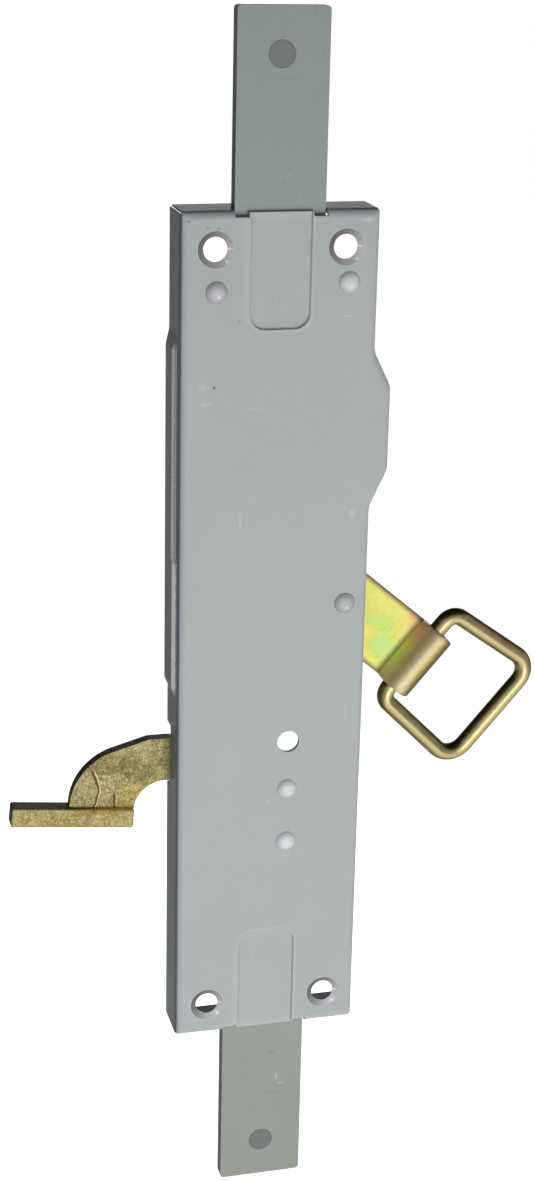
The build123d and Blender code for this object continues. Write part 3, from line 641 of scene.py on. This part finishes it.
def rivet_paint(name, colour, brightness, centre):
    """Paint on a domed head, with a painted highlight over the dome, a painted glint just below its
    middle, and painted shade round its upper left.
    """
    colour = scaled(colour, brightness)
    f = Finish(name)
    place = f.place()
    x, _, z = f.axes(place)
    off_x = x - centre.x
    off_z = z - centre.z
    worn = f.noise(place, 0.8, 3.0, 0.6)
    base = f.colour(scaled(colour, 0.92), scaled(colour, 1.1), worn)
    # Painted highlight over the dome, and a painted glint below its middle
    crown = f.spot(off_x, off_z, 0.2, -0.3, 3.9, 3.7)
    base = f.colour(base, scaled((0.66, 0.665, 0.68), brightness), crown * (0.3 + 0.6 * worn))
    glint = f.spot(off_x, off_z, 0.5, -1.3, 0.7, 0.6)
    base = f.colour(base, (0.78, 0.78, 0.8), glint * 0.7)
    base = f.colour(base, scaled(colour, 0.6), f.step(f.reach(off_x, off_z), 3.2, 3.62) * 0.5)
    # Painted shade round the upper left of the head
    upper_left = f.step((off_z - off_x) * 0.7, 1.8, 3.6)
    base = f.colour(base, scaled(colour, 0.62), upper_left * 0.3)
    return f.surface(
        Base_Color=base,
        Roughness=0.5 + worn * 0.1,
        Metallic=0.05,
        Specular_IOR_Level=0.12,
        Normal=f.bump(worn, 0.4, 0.1),
    )


def strap_zinc(colours):
    """Iridescent zinc: yellow and green in the middle, rose and bronze towards the edges."""
    f = Finish("yellow_zinc")
    place = f.place()
    x, y, z = f.axes(place)
    out_x = x - HANDLE_PIVOT.x
    out_z = z - HANDLE_PIVOT.z
    along = out_x * math.cos(HANDLE_ANGLE) + out_z * math.sin(HANDLE_ANGLE)
    across = out_z * math.cos(HANDLE_ANGLE) - out_x * math.sin(HANDLE_ANGLE)
    edge = abs(across + STRAP_OFFSET) / STRAP_HALF
    swirl = f.noise(place, 0.13, 4.0, 0.62, 1.1)
    fine = f.noise(place, 0.6, 4.0, 0.65, 0.4)
    streaks = f.noise(f.stretch(place, 0.35, 1.0, 1.0), 0.34, 4.0, 0.7, 1.6)

    # Flat of the strap: a field of colour from green to rose
    warm = f.spot(along, across, 34.0, 9.5, 9.0, 9.0) * 0.4
    cool = f.spot(along, across, 29.5, -5.0, 9.5, 7.0) * 0.34
    cool = cool + f.spot(along, across, 22.0, 1.5, 8.5, 6.0) * 0.2
    field = 0.3 + edge * edge * edge * 0.3 + warm - cool
    field = field + (swirl - 0.5) * 0.5 + (fine - 0.5) * 0.28 + (streaks - 0.5) * 0.75
    yellow = colours.zinc_yellow
    plate = f.ramp(
        field,
        [
            (0.0, (0.5, 0.68, 0.23)),
            (0.12, colours.zinc_green),
            (0.26, scaled(yellow, 0.95)),
            (0.44, yellow),
            (0.6, (0.84, 0.66, 0.22)),
            (0.74, (0.86, 0.5, 0.24)),
            (0.88, colours.zinc_rose),
            (1.0, (0.4, 0.25, 0.2)),
        ],
    )
    # Painted light on the strap beside the roll, against the roll's shadow
    plate = f.colour(plate, (1.0, 0.98, 0.42), f.step(along, 28.5, 32.5) * 0.5)

    # Rolled eye, by the angle round it: 0 at its front, and more towards the strap; its colours are
    # painted shade and painted highlights round the roll, and the leaf darkens towards the roll in
    # painted shade
    round_eye = (EYE_ALONG - along).arctan(EYE_DEPTH - y) * (180.0 / math.pi)
    rolled = f.ramp((round_eye + 90.0) / 220.0 + (fine - 0.5) * 0.03, EYE_SHADES)
    ends = f.step(edge, 0.94, 0.985)
    rolled = f.colour(rolled, (0.5, 0.49, 0.44), ends * 0.6)
    bright_patch = f.spot(across, round_eye, -11.0, -12.0, 4.0, 30.0) * f.step(streaks, 0.45, 0.6)
    rolled = f.colour(rolled, (0.78, 0.76, 0.66), bright_patch * 0.7)
    leaf = f.ramp(f.step(across, -13.5, 11.5) + (swirl - 0.5) * 0.5, LEAF_SHADES)
    rolled = f.colour(rolled, leaf, f.step(round_eye, 34.0, 86.0))

    # Both together, with the shear-cut edges, painted shade along the end of the roll, and a little
    # grime
    flat = f.step(y, 11.9, 12.2)
    base = f.colour(rolled, plate, flat)
    bronze = f.colour((0.2, 0.15, 0.075), (0.34, 0.26, 0.14), fine)
    sheared_and_shade = f.step(edge, 0.8, 0.95)
    base = f.colour(base, bronze, sheared_and_shade * (0.2 + flat * 0.65))
    # Painted shade: a dark line where the end of the roll meets the strap
    rim = f.step(round_eye, 114.0, 120.0) * (1.0 - flat)
    base = f.colour(base, (0.1, 0.08, 0.02), rim * 0.8)
    grime = f.step(f.noise(place, 0.5, 4.0, 0.7), 0.56, 0.72)
    base = f.colour(base, (0.32, 0.26, 0.09), grime * 0.35)
    return f.surface(
        Base_Color=base,
        Roughness=0.5 + (fine - 0.5) * 0.2,
        Metallic=0.1,
        Specular_IOR_Level=0.1,
        Normal=f.bump(fine, 0.3, 0.05),
    )


def ring_zinc(colours):
    """Glossy bronze-yellow plate on drawn wire, with a painted highlight on the faces towards the
    front and painted shade on the faces that point up.
    """
    f = Finish("ring_zinc")
    place = f.place()
    bronze = colours.bronze
    swirl = f.noise(place, 0.16, 3.0, 0.6, 0.6)
    fine = f.noise(place, 0.7, 3.0, 0.6)
    base = f.ramp(
        swirl,
        [
            (0.34, (0.14, 0.165, 0.065)),
            (0.46, scaled(bronze, 0.85)),
            (0.54, bronze),
            (0.68, (0.26, 0.165, 0.095)),
        ],
    )
    base = f.colour(base, (0.31, 0.265, 0.125), f.step(fine, 0.52, 0.75) * 0.45)
    base = f.colour(base, scaled(bronze, 0.5), f.step(fine, 0.42, 0.25) * 0.5)
    # Painted highlight on faces that point to the front and a little down, and painted shade on
    # faces that point up
    facing_x, _, facing_z = f.facing()
    bright_patch = f.spot(facing_x, facing_z, 0.03, -0.27, 0.66, 0.42)
    base = f.colour(base, (0.5, 0.42, 0.22), bright_patch * 0.7)
    base = f.colour(base, (0.045, 0.037, 0.015), f.step(facing_z, 0.34, 0.68) * 0.88)
    return f.surface(
        Base_Color=base,
        Roughness=0.34 + (fine - 0.5) * 0.14,
        Metallic=0.85,
        Specular_Tint=(0.3, 0.28, 0.18, 1.0),
        Normal=f.bump(fine, 0.2, 0.05),
    )


def claw_casting(colours):
    """Rough casting under yellow plate: pits, grime in the hollows, and two cold shuts."""
    f = Finish("claw_casting")
    place = f.place()
    x, _, z = f.axes(place)
    casting = colours.casting

    # Plate that turns golden or grey in places
    patch = f.noise(place, 0.1, 3.0, 0.6, 0.3)
    base = f.ramp(
        patch,
        [
            (0.3, scaled(casting, 0.86)),
            (0.45, casting),
            (0.58, (0.29, 0.245, 0.11)),
            (0.7, (0.26, 0.19, 0.055)),
        ],
    )
    on_foot = f.fall(z, -60.0, -58.5)
    golden = f.spot(x, z, -47.0, -55.5, 7.5, 5.5).high(f.step(patch, 0.5, 0.62) * on_foot)
    base = f.colour(base, (0.34, 0.26, 0.065), golden * 0.65)
    grey = f.spots(x, z, ((-61.0, -50.0, 7.0, 12.0), (-42.0, -39.5, 10.0, 5.0)))
    base = f.colour(base, (0.26, 0.23, 0.145), grey * 0.5)

    # Sandy face with fine winding lines and pits
    sand = f.noise(place, 1.15, 3.0, 0.65)
    grain = f.noise(place, 2.6, 2.0, 0.6)
    pits = f.cells(place, 0.95)
    winding = f.noise(place, 0.6, 2.0, 0.5, 1.2) - 0.5
    coarse = f.step(patch, 0.38, 0.56)
    grooves = f.fall(abs(winding), 0.0, 0.028) * coarse
    lips = f.fall(abs(winding - 0.05), 0.0, 0.035) * coarse
    base = f.colour(base, (0.17, 0.11, 0.025), f.step(sand, 0.48, 0.34) * 0.5)
    base = f.colour(base, (0.54, 0.47, 0.19), f.step(sand, 0.5, 0.64) * 0.7)
    base = f.colour(base, (0.15, 0.09, 0.02), f.step(grain, 0.46, 0.36) * 0.4)
    base = f.colour(base, (0.14, 0.095, 0.025), grooves * 0.45)
    base = f.colour(base, (0.56, 0.49, 0.2), lips * 0.6)
    base = f.colour(base, (0.1, 0.07, 0.02), f.step(pits, 0.16, 0.06) * 0.55)

    # Grime in a hollow along the arm
    hollow = f.spots(x, z, ((-54.0, -44.0, 13.0, 4.6), (-44.0, -47.5, 9.0, 4.0)))
    clots = f.step(f.noise(place, 0.42, 3.0, 0.7, 1.0), 0.4, 0.52)
    dirt = f.step(grain, 0.5, 0.62).high(f.step(sand, 0.52, 0.66))
    grime = (hollow * 1.5).low(1.0) * clots * (0.35 + 0.65 * dirt)
    base = f.colour(base, (0.06, 0.042, 0.012), grime * 0.75)

    # A long and a short cold shut, each a dark line with a painted highlight on the ridge beside it
    wander = (f.noise(place, 0.3, 2.0) - 0.5) * 2.2
    drop = z + 53.0
    long_line = x + drop * drop * 0.035 + wander
    short_line = x + wander * 0.5
    long_span = f.band(z, -61.0, -60.2, -47.0, -44.5)
    long_shut = f.fall(abs(long_line + 58.6), 0.12, 0.4) * long_span
    short_shut = f.fall(abs(short_line + 52.7), 0.1, 0.32) * f.band(z, -61.0, -60.5, -55.2, -54.2)
    shut = long_shut.high(short_shut)
    base = f.colour(base, (0.07, 0.045, 0.015), shut * 0.85)
    long_ridge = f.fall(abs(long_line + 57.8), 0.15, 0.55) * long_span
    short_ridge = f.fall(abs(short_line + 52.0), 0.1, 0.4) * f.band(z, -60.8, -60.0, -56.5, -54.5)
    ridge = long_ridge.high(short_ridge)
    base = f.colour(base, (0.66, 0.57, 0.28), ridge * 0.75)

    # Brown seam where the arm meets the foot; faces that don't face front or back are painted light
    # on the seam, and elsewhere in painted shade
    seam = f.band(z, -62.2, -61.2, -60.6, -58.4) * f.step(x, -68.5, -67.0)
    brown = seam * (0.5 + 0.5 * f.step(sand, 0.4, 0.6))
    base = f.colour(base, (0.27, 0.17, 0.03), brown * 0.8)
    sideways = f.fall(abs(f.facing()[1]), 0.35, 0.75)
    base = f.colour(base, (0.85, 0.55, 0.12), seam * sideways * 0.9)
    side_shade = sideways * (1.0 - seam)
    painted_shading = f.colour((0.022, 0.018, 0.008), (0.06, 0.047, 0.018), sand)
    base = f.colour(base, painted_shading, side_shade * 0.93)

    relief = sand * 0.6 + grain * 0.25 + (lips - grooves) * 0.2
    relief = relief + f.step(pits, 0.0, 0.25) * 0.3 - shut * 0.9 + ridge * 0.5
    return f.surface(
        Base_Color=base,
        Roughness=0.46 + (sand - 0.5) * 0.3 + side_shade * 0.2,
        Metallic=0.3 - side_shade * 0.3,
        Specular_IOR_Level=0.12,
        Normal=f.bump(relief, 0.8, 0.4),
    )


def bright_steel(name, colour, roughness, lines):
    """Plain zinc-plated or drawn steel."""
    f = Finish(name)
    place = f.place()
    turned = f.noise(f.stretch(place, *lines), 1.0, 3.0)
    dull = f.noise(place, 0.12, 3.0)
    base = f.colour(scaled(colour, 0.8), scaled(colour, 1.15), turned)
    base = f.colour(base, scaled(colour, 0.65), f.step(dull, 0.5, 0.7) * 0.5)
    return f.surface(
        Base_Color=base,
        Roughness=roughness + (turned - 0.5) * 0.2,
        Metallic=0.85,
        Normal=f.bump(turned, 0.25, 0.04),
    )


def dress(material, *nodes):
    """Gives CAD nodes a finish."""
    for name in nodes:
        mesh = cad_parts[name].data
        mesh.materials.clear()
        mesh.materials.append(material)


def centre_of(node):
    """The centre of a node's box, in millimetres."""
    low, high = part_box(node)
    return Vector([(a + b) / 2 / MM for a, b in zip(low, high)])


def add_object(name, bm, material):
    """Makes an object of the scene from a finished bmesh."""
    mesh = bpy.data.meshes.new(name)
    bm.to_mesh(mesh)
    bm.free()
    mesh.materials.append(material)
    made = bpy.data.objects.new(name, mesh)
    bpy.context.scene.collection.objects.link(made)
    return made


def only(kind, items):
    """The items of one kind among a bmesh operator's results."""
    return [item for item in items if isinstance(item, kind)]


def spin(bm, geom, centre, axis, angle, steps, rise=(0.0, 0.0, 0.0)):
    """Sweeps a section round an axis; returns the vertices of its last place."""
    swept = bmesh.ops.spin(
        bm,
        geom=geom,
        cent=centre,
        axis=axis,
        dvec=rise,
        angle=angle,
        steps=steps,
        use_merge=False,
        use_duplicate=False,
    )
    return only(bmesh.types.BMVert, swept["geom_last"])


# Handle


def strap_frame():
    """Turns along, across and depth into the lock's axes, from the handle's pivot."""
    turn = Matrix.Rotation(-HANDLE_ANGLE, 4, "Y")
    return Matrix.Translation(HANDLE_PIVOT * MM) @ turn


def cut_mesh(bm, x, keep_outer):
    """Cuts a mesh at an upright plane across the lock and closes the cut."""
    cut = bmesh.ops.bisect_plane(
        bm,
        geom=bm.verts[:] + bm.edges[:] + bm.faces[:],
        dist=FINE_MERGE,
        plane_co=(x, 0.0, 0.0),
        plane_no=(1.0, 0.0, 0.0),
        clear_inner=keep_outer,
        clear_outer=not keep_outer,
    )
    edges = only(bmesh.types.BMEdge, cut["geom_cut"])
    bmesh.ops.triangle_fill(bm, edges=edges, use_beauty=True, use_dissolve=False)


def roll_strap(handle):
    """The strap as a rounded bar whose end is rolled into an eye."""
    half = handle.width / 2
    thick = handle.thickness
    depth = EYE_DEPTH * MM + handle.eye_bore / 2
    bm = bmesh.new()
    corners = [(-half, depth), (half, depth), (half, depth + thick), (-half, depth + thick)]
    section = [bm.verts.new((0.0, y, handle.offset + across)) for across, y in corners]
    bm.faces.new(section)
    bmesh.ops.bevel(
        bm,
        geom=section,
        offset=handle.edge,
        offset_type="OFFSET",
        affect="VERTICES",
        segments=EDGE_STEPS,
        profile=0.5,
        material=-1,
    )
    run = bmesh.ops.extrude_face_region(bm, geom=bm.faces[:])
    moved = only(bmesh.types.BMVert, run["geom"])
    bmesh.ops.translate(bm, vec=(EYE_ALONG * MM, 0.0, 0.0), verts=moved)
    end = only(bmesh.types.BMFace, run["geom"])
    end += list(dict.fromkeys(edge for face in end for edge in face.edges)) + moved
    eye = (EYE_ALONG * MM, EYE_DEPTH * MM, 0.0)
    spin(bm, end, eye, (0.0, 0.0, -1.0), handle.roll, EYE_STEPS)
    bmesh.ops.remove_doubles(bm, verts=bm.verts, dist=FINE_MERGE)
    bmesh.ops.recalc_face_normals(bm, faces=bm.faces)
    bmesh.ops.transform(bm, matrix=strap_frame(), verts=bm.verts)
    return bm


def make_handle(handle, material):
    """The handle: the CAD lever's inner arm and, outside the case, the strap with its eye."""
    bm = roll_strap(handle)
    cut_mesh(bm, STRAP_CUT_X * MM, keep_outer=True)
    outer = bpy.data.meshes.new("handle_outer")
    bm.to_mesh(outer)
    bm.free()
    bm = bmesh.new()
    bm.from_mesh(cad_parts["handle_lever"].data)
    bmesh.ops.remove_doubles(bm, verts=bm.verts, dist=MERGE)
    cut_mesh(bm, STRAP_CUT_X * MM, keep_outer=False)
    bm.from_mesh(outer)
    bpy.data.meshes.remove(outer)
    for face in bm.faces:
        face.smooth = True
    for edge in bm.edges:
        edge.smooth = not edge.is_manifold or edge.calc_face_angle(0.0) < SMOOTH_ANGLE
    strap = add_object("handle_strap", bm, material)
    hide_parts("handle_lever")
    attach(strap, "handle")


# Springs


def middle(verts):
    """The centre of an end loop of wire."""
    return sum((vert.co for vert in verts), Vector()) / len(verts)


def loop_edges(verts):
    """The edges between the vertices of an end loop."""
    ends = set(verts)
    touching = dict.fromkeys(edge for vert in verts for edge in vert.link_edges)
    return [edge for edge in touching if ends.issuperset(edge.verts)]


def wind_coil(bm, low, high, radius, start_angle, end_angle, springs):
    """Winds a coil between two points on its axis; returns its end loops and their headings."""
    axis = (high - low).normalized()
    side = Vector((0.0, 1.0, 0.0)).cross(axis).normalized()
    up = axis.cross(side)
    part_turn = (end_angle - start_angle) / (2 * math.pi)
    turns = round((high - low).length / springs.pitch - part_turn) + part_turn
    steps = round(turns * springs.steps)
    out = side * math.cos(start_angle) + up * math.sin(start_angle)
    along = up * math.cos(start_angle) - side * math.sin(start_angle)
    turn_in = Matrix((out, axis, -along)).transposed().to_4x4()
    place = Matrix.Translation(low + out * radius) @ turn_in
    wire = springs.wire / 2
    circle = bmesh.ops.create_circle(bm, segments=WIRE_SIDES, radius=wire, matrix=place)
    first = circle["verts"]
    rise = axis * ((high - low).length / steps)
    section = first + loop_edges(first)
    last = spin(bm, section, low, axis, 2 * math.pi * turns, steps, rise)
    leaving = up * math.cos(end_angle) - side * math.sin(end_angle)
    return (first, -along), (last, leaving)


def bend_wire(bm, loop, heading, corners, radius):
    """Carries wire on from an end loop, bent round at each corner, and closes its end."""
    spot = middle(loop)
    for index, corner in enumerate(corners):
        onward = heading
        if index + 1 < len(corners):
            onward = (corners[index + 1] - corner).normalized()
        angle = heading.angle(onward)
        trim = radius * math.tan(angle / 2)
        length = (corner - spot).length - trim
        if length > LEAST_STRAIGHT:
            grown = bmesh.ops.extrude_edge_only(bm, edges=loop_edges(loop))
            loop = only(bmesh.types.BMVert, grown["geom"])
            bmesh.ops.translate(bm, vec=heading * length, verts=loop)
        if angle > LEAST_BEND:
            pivot = heading.cross(onward).normalized()
            centre = middle(loop) + pivot.cross(heading) * radius
            steps = max(2, round(angle / BEND_STEP))
            loop = spin(bm, loop + loop_edges(loop), centre, pivot, angle, steps)
        spot = corner + onward * trim
        heading = onward
    bmesh.ops.contextual_create(bm, geom=loop_edges(loop))


def hook_corners(start, hole, out, tail):
    """Corners of a hook: along to its hole, through to depth out, and a short tail."""
    x, y, z = hole
    return [(start[0], y, start[1]), (x, y, z), (x, out, z), (x, out, z + tail)]


def wind_spring(node, ends, outside, sides, hooks, springs, material):
    """Makes a return spring with a bent hook at each end, in place of its CAD tube."""
    wire = springs.wire / 2
    radius = outside / 2 - wire
    bend = WIRE_BEND * wire
    low, high = (end * MM for end in ends)
    start_angle = math.atan2(sides[0] * radius, -sides[0] * bend)
    end_angle = math.atan2(sides[1] * radius, sides[1] * bend)
    bm = bmesh.new()
    loops = wind_coil(bm, low, high, radius, start_angle, end_angle, springs)
    for (loop, heading), hook in zip(loops, hooks):
        corners = [middle(loop) + heading * bend] + [Vector(point) * MM for point in hook]
        bend_wire(bm, loop, heading, corners, bend * BEND_SHARE)
    bmesh.ops.remove_doubles(bm, verts=bm.verts, dist=MERGE)
    bmesh.ops.recalc_face_normals(bm, faces=bm.faces)
    for face in bm.faces:
        face.smooth = True
    spring = add_object(f"{node}_wire", bm, material)
    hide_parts(node)
    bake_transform(spring)


# Operators


class LOCK_OT_case(bpy.types.Operator):
    """Paint the folded case, with its scuffs, its unpainted countersinks and its painted light and
    shade
    """

    bl_idname = "shutter_lock.case"
    bl_label = "Finish Case"

    def execute(self, context):
        dress(case_paint(context.scene.lock_colours), "case")
        return {"FINISHED"}


class LOCK_OT_bolts(bpy.types.Operator):
    """Finish the two flat bolts and the plugs riveted into them"""

    bl_idname = "shutter_lock.bolts"
    bl_label = "Finish Bolts"

    def execute(self, context):
        colours = context.scene.lock_colours
        for node, marks in BOLT_MARKS.items():
            dress(bolt_grey(f"{node}_paint", getattr(colours, node), *marks), node)
        for node in ("upper_bolt_plug", "lower_bolt_plug"):
            dress(plug_steel(node, colours.plug, centre_of(node)), node)
        return {"FINISHED"}


class LOCK_OT_handle(bpy.types.Operator):
    """Roll the handle's strap into its eye and plate it with iridescent yellow zinc"""

    bl_idname = "shutter_lock.handle"
    bl_label = "Make Handle"

    def execute(self, context):
        material = strap_zinc(context.scene.lock_colours)
        dress(material, "handle_lever")
        make_handle(context.scene.lock_handle, material)
        return {"FINISHED"}


class LOCK_OT_ring(bpy.types.Operator):
    """Plate the pull ring's round wire"""

    bl_idname = "shutter_lock.ring"
    bl_label = "Finish Ring"

    def execute(self, context):
        dress(ring_zinc(context.scene.lock_colours), "pull_ring")
        return {"FINISHED"}


class LOCK_OT_claw(bpy.types.Operator):
    """Roughen the claw's casting"""

    bl_idname = "shutter_lock.claw"
    bl_label = "Finish Claw"

    def execute(self, context):
        dress(claw_casting(context.scene.lock_colours), "claw_lever")
        return {"FINISHED"}


class LOCK_OT_rivets(bpy.types.Operator):
    """Paint the five domed rivets, with painted highlights on their crowns"""

    bl_idname = "shutter_lock.rivets"
    bl_label = "Finish Rivets"

    def execute(self, context):
        colour = context.scene.lock_colours.rivet
        for node, brightness in RIVET_BRIGHTNESS.items():
            dress(rivet_paint(node, colour, brightness, centre_of(node)), node)
        return {"FINISHED"}


class LOCK_OT_inner(bpy.types.Operator):
    """Finish the plates, pins and washers inside the case"""

    bl_idname = "shutter_lock.inner"
    bl_label = "Finish Inner Pieces"

    def execute(self, context):
        steel = context.scene.lock_colours.steel
        flat = bright_steel("inner_plate", scaled(steel, 0.85), 0.42, (0.25, 1.0, 1.6))
        round_stock = bright_steel("inner_pins", steel, 0.34, (1.2, 0.3, 1.2))
        dress(flat, "guide_bridge", "rocker")
        washers = ("handle_washer", "claw_washer", "guide_washer", "handle_spacer")
        dress(round_stock, "drive_pin", "rocker_pins", *washers)
        return {"FINISHED"}


class LOCK_OT_springs(bpy.types.Operator):
    """Wind the return springs of the handle and the claw"""

    bl_idname = "shutter_lock.springs"
    bl_label = "Wind Springs"

    def execute(self, context):
        springs = context.scene.lock_springs
        steel = scaled(context.scene.lock_colours.steel, 0.75)
        wire = bright_steel("spring_wire", steel, 0.3, (1.5, 1.5, 1.5))

        # The claw's spring hangs straight down to a hole in the claw
        x, y = CLAW_AXIS_X, CLAW_AXIS_Y
        bridge = (x, BRIDGE_FRONT, BRIDGE_HOLE)
        wind_spring(
            "claw_spring",
            ends=(Vector((x, y, CLAW_COIL_END)), Vector((x, y, COIL_TOP))),
            outside=springs.claw_outside,
            sides=(1, -1),
            hooks=(
                hook_corners((x, CLAW_HOOK_START), CLAW_HOLE, 16.05, HOOK_TAIL),
                hook_corners((x, HOOK_TOP), bridge, BRIDGE_BACK, -HOOK_TAIL),
            ),
            springs=springs,
            material=wire,
        )

        # The handle's spring leans from the bridge to the peg on the handle's inner arm
        x, y = HANDLE_AXIS_X, HANDLE_AXIS_Y
        peg = HANDLE_PEG
        bridge = (x, BRIDGE_BACK, BRIDGE_HOLE)
        slope = (x - peg.x) / (BRIDGE_HOLE - peg.z)
        low_x, high_x, hook_x = (
            peg.x + slope * (z - peg.z) for z in (HANDLE_COIL_END, COIL_TOP, HANDLE_HOOK_START)
        )
        wind_spring(
            "handle_spring",
            ends=(Vector((low_x, y, HANDLE_COIL_END)), Vector((high_x, y, COIL_TOP))),
            outside=springs.handle_outside,
            sides=(-1, -1),
            hooks=(
                hook_corners((hook_x, HANDLE_HOOK_START), peg, 16.15, HOOK_TAIL),
                hook_corners((x, HOOK_TOP), bridge, BRIDGE_FRONT, -HOOK_TAIL),
            ),
            springs=springs,
            material=wire,
        )
        return {"FINISHED"}


class LOCK_OT_stage(bpy.types.Operator):
    """Set up the floor, the lamps, the backdrop and the camera"""

    bl_idname = "shutter_lock.stage"
    bl_label = "Set Up Stage"

    def execute(self, context):
        studio = context.scene.lock_studio
        lay_floor(studio)
        light_world(context.scene, studio)
        powers = (studio.key_power, studio.fill_power, studio.rear_power)
        for lamp, power in zip(LAMPS, powers):
            soft_lamp(*lamp, power)
        for card in CARDS:
            dark_card(*card)
        set_camera(context.scene)
        return {"FINISHED"}


# Stage


def background_share(finish):
    """1 for the rays that see the background, directly or in a reflection."""
    seen = finish.node("ShaderNodeLightPath", output="Is Camera Ray")
    mirrored = finish.node("ShaderNodeLightPath", output="Is Glossy Ray")
    through = finish.node("ShaderNodeLightPath", output="Is Transmission Ray")
    return seen.high(mirrored).high(through)


def lay_floor(studio):
    """A pale floor under the lock that fades into the white background."""
    f = Finish("floor")
    pale = f.node("ShaderNodeBsdfDiffuse", None, {"Color": (0.8, 0.8, 0.8, 1.0)})
    glow = f.node("ShaderNodeEmission", None, {"Color": (1.0, 1.0, 1.0, 1.0), "Strength": 0.95})
    lit = f.node("ShaderNodeAddShader", None, {0: pale, 1: glow})
    mixed = f.node("ShaderNodeMixShader", None, {0: background_share(f), 1: pale, 2: lit})
    bm = bmesh.new()
    bmesh.ops.create_grid(bm, x_segments=1, y_segments=1, size=FLOOR_HALF)
    floor_z = cad_box[0][2] - studio.floor_drop
    bmesh.ops.translate(bm, vec=(0.0, FLOOR_BACK, floor_z), verts=bm.verts)
    floor = add_object("floor", bm, f.output(mixed))


def dark_card(name, place, turn, half):
    """A dark card that the camera doesn't see and that gives metal its dark reflections."""
    f = Finish(name)
    dark = f.node("ShaderNodeBsdfDiffuse", None, {"Color": (0.03, 0.03, 0.035, 1.0)})
    bm = bmesh.new()
    bmesh.ops.create_grid(bm, x_segments=1, y_segments=1, size=half)
    bmesh.ops.rotate(bm, matrix=Euler(turn).to_matrix(), verts=bm.verts)
    bmesh.ops.translate(bm, vec=place, verts=bm.verts)
    card = add_object(name, bm, f.output(dark))
    card.visible_camera = False


def light_world(scene, studio):
    """An even, dim light from all round, with a white background."""
    scene.world = bpy.data.worlds.new("studio")
    f = Finish("studio", scene.world)
    level = background_share(f) * (1.0 - studio.ambient) + studio.ambient
    sky = f.node("ShaderNodeBackground", None, {"Color": (1.0, 1.0, 1.0, 1.0), "Strength": level})
    f.output(sky, "ShaderNodeOutputWorld")


def soft_lamp(name, place, size, power):
    """A square lamp that points at the lock."""
    lamp = bpy.data.lights.new(name, "AREA")
    lamp.shape = "SQUARE"
    lamp.size = size
    lamp.energy = power
    holder = bpy.data.objects.new(name, lamp)
    holder.location = place
    holder.rotation_euler = (LAMP_AIM - Vector(place)).to_track_quat("-Z", "Y").to_euler()
    bpy.context.scene.collection.objects.link(holder)


def set_camera(scene):
    """The photograph's view: from the left and above, about 0.7 m away."""
    camera = bpy.data.cameras.new("camera")
    camera.sensor_fit = "VERTICAL"
    camera.sensor_height = CAMERA_SENSOR
    camera.lens = CAMERA_LENS
    camera.clip_start = 0.01
    camera.clip_end = 20.0
    turn = Matrix((CAMERA_RIGHT, -CAMERA_DOWN, -CAMERA_FORWARD)).transposed().to_4x4()
    holder = bpy.data.objects.new("camera", camera)
    holder.matrix_world = Matrix.Translation(CAMERA_PLACE) @ turn
    scene.collection.objects.link(holder)
    scene.camera = holder
    scene.view_settings.view_transform = "Standard"


class LOCK_PT_panel(bpy.types.Panel):
    """The lock's sizes, colours and steps"""

    bl_idname = "LOCK_PT_panel"
    bl_label = "Shutter Lock"
    bl_space_type = "VIEW_3D"
    bl_region_type = "UI"
    bl_category = "Shutter Lock"

    def draw(self, context):
        for group_name in GROUPS:
            group = getattr(context.scene, group_name)
            box = self.layout.box()
            for name in group.__annotations__:
                box.prop(group, name)
        for step in STEPS:
            self.layout.operator(step.bl_idname)


STEPS = (
    LOCK_OT_case,
    LOCK_OT_bolts,
    LOCK_OT_handle,
    LOCK_OT_ring,
    LOCK_OT_claw,
    LOCK_OT_rivets,
    LOCK_OT_inner,
    LOCK_OT_springs,
    LOCK_OT_stage,
)
GROUPS = {
    "lock_handle": LockHandle,
    "lock_springs": LockSprings,
    "lock_colours": LockColours,
    "lock_studio": LockStudio,
}
CLASSES = (*GROUPS.values(), *STEPS, LOCK_PT_panel)


def register():
    for kind in CLASSES:
        bpy.utils.register_class(kind)
    for name, group in GROUPS.items():
        setattr(bpy.types.Scene, name, PointerProperty(type=group))


def unregister():
    for name in GROUPS:
        delattr(bpy.types.Scene, name)
    for kind in reversed(CLASSES):
        bpy.utils.unregister_class(kind)


def main():
    """Runs each step in order."""
    register()
    for step in STEPS:
        getattr(bpy.ops.shutter_lock, step.bl_idname.split(".")[1])()


if __name__ == "__main__":
    main()
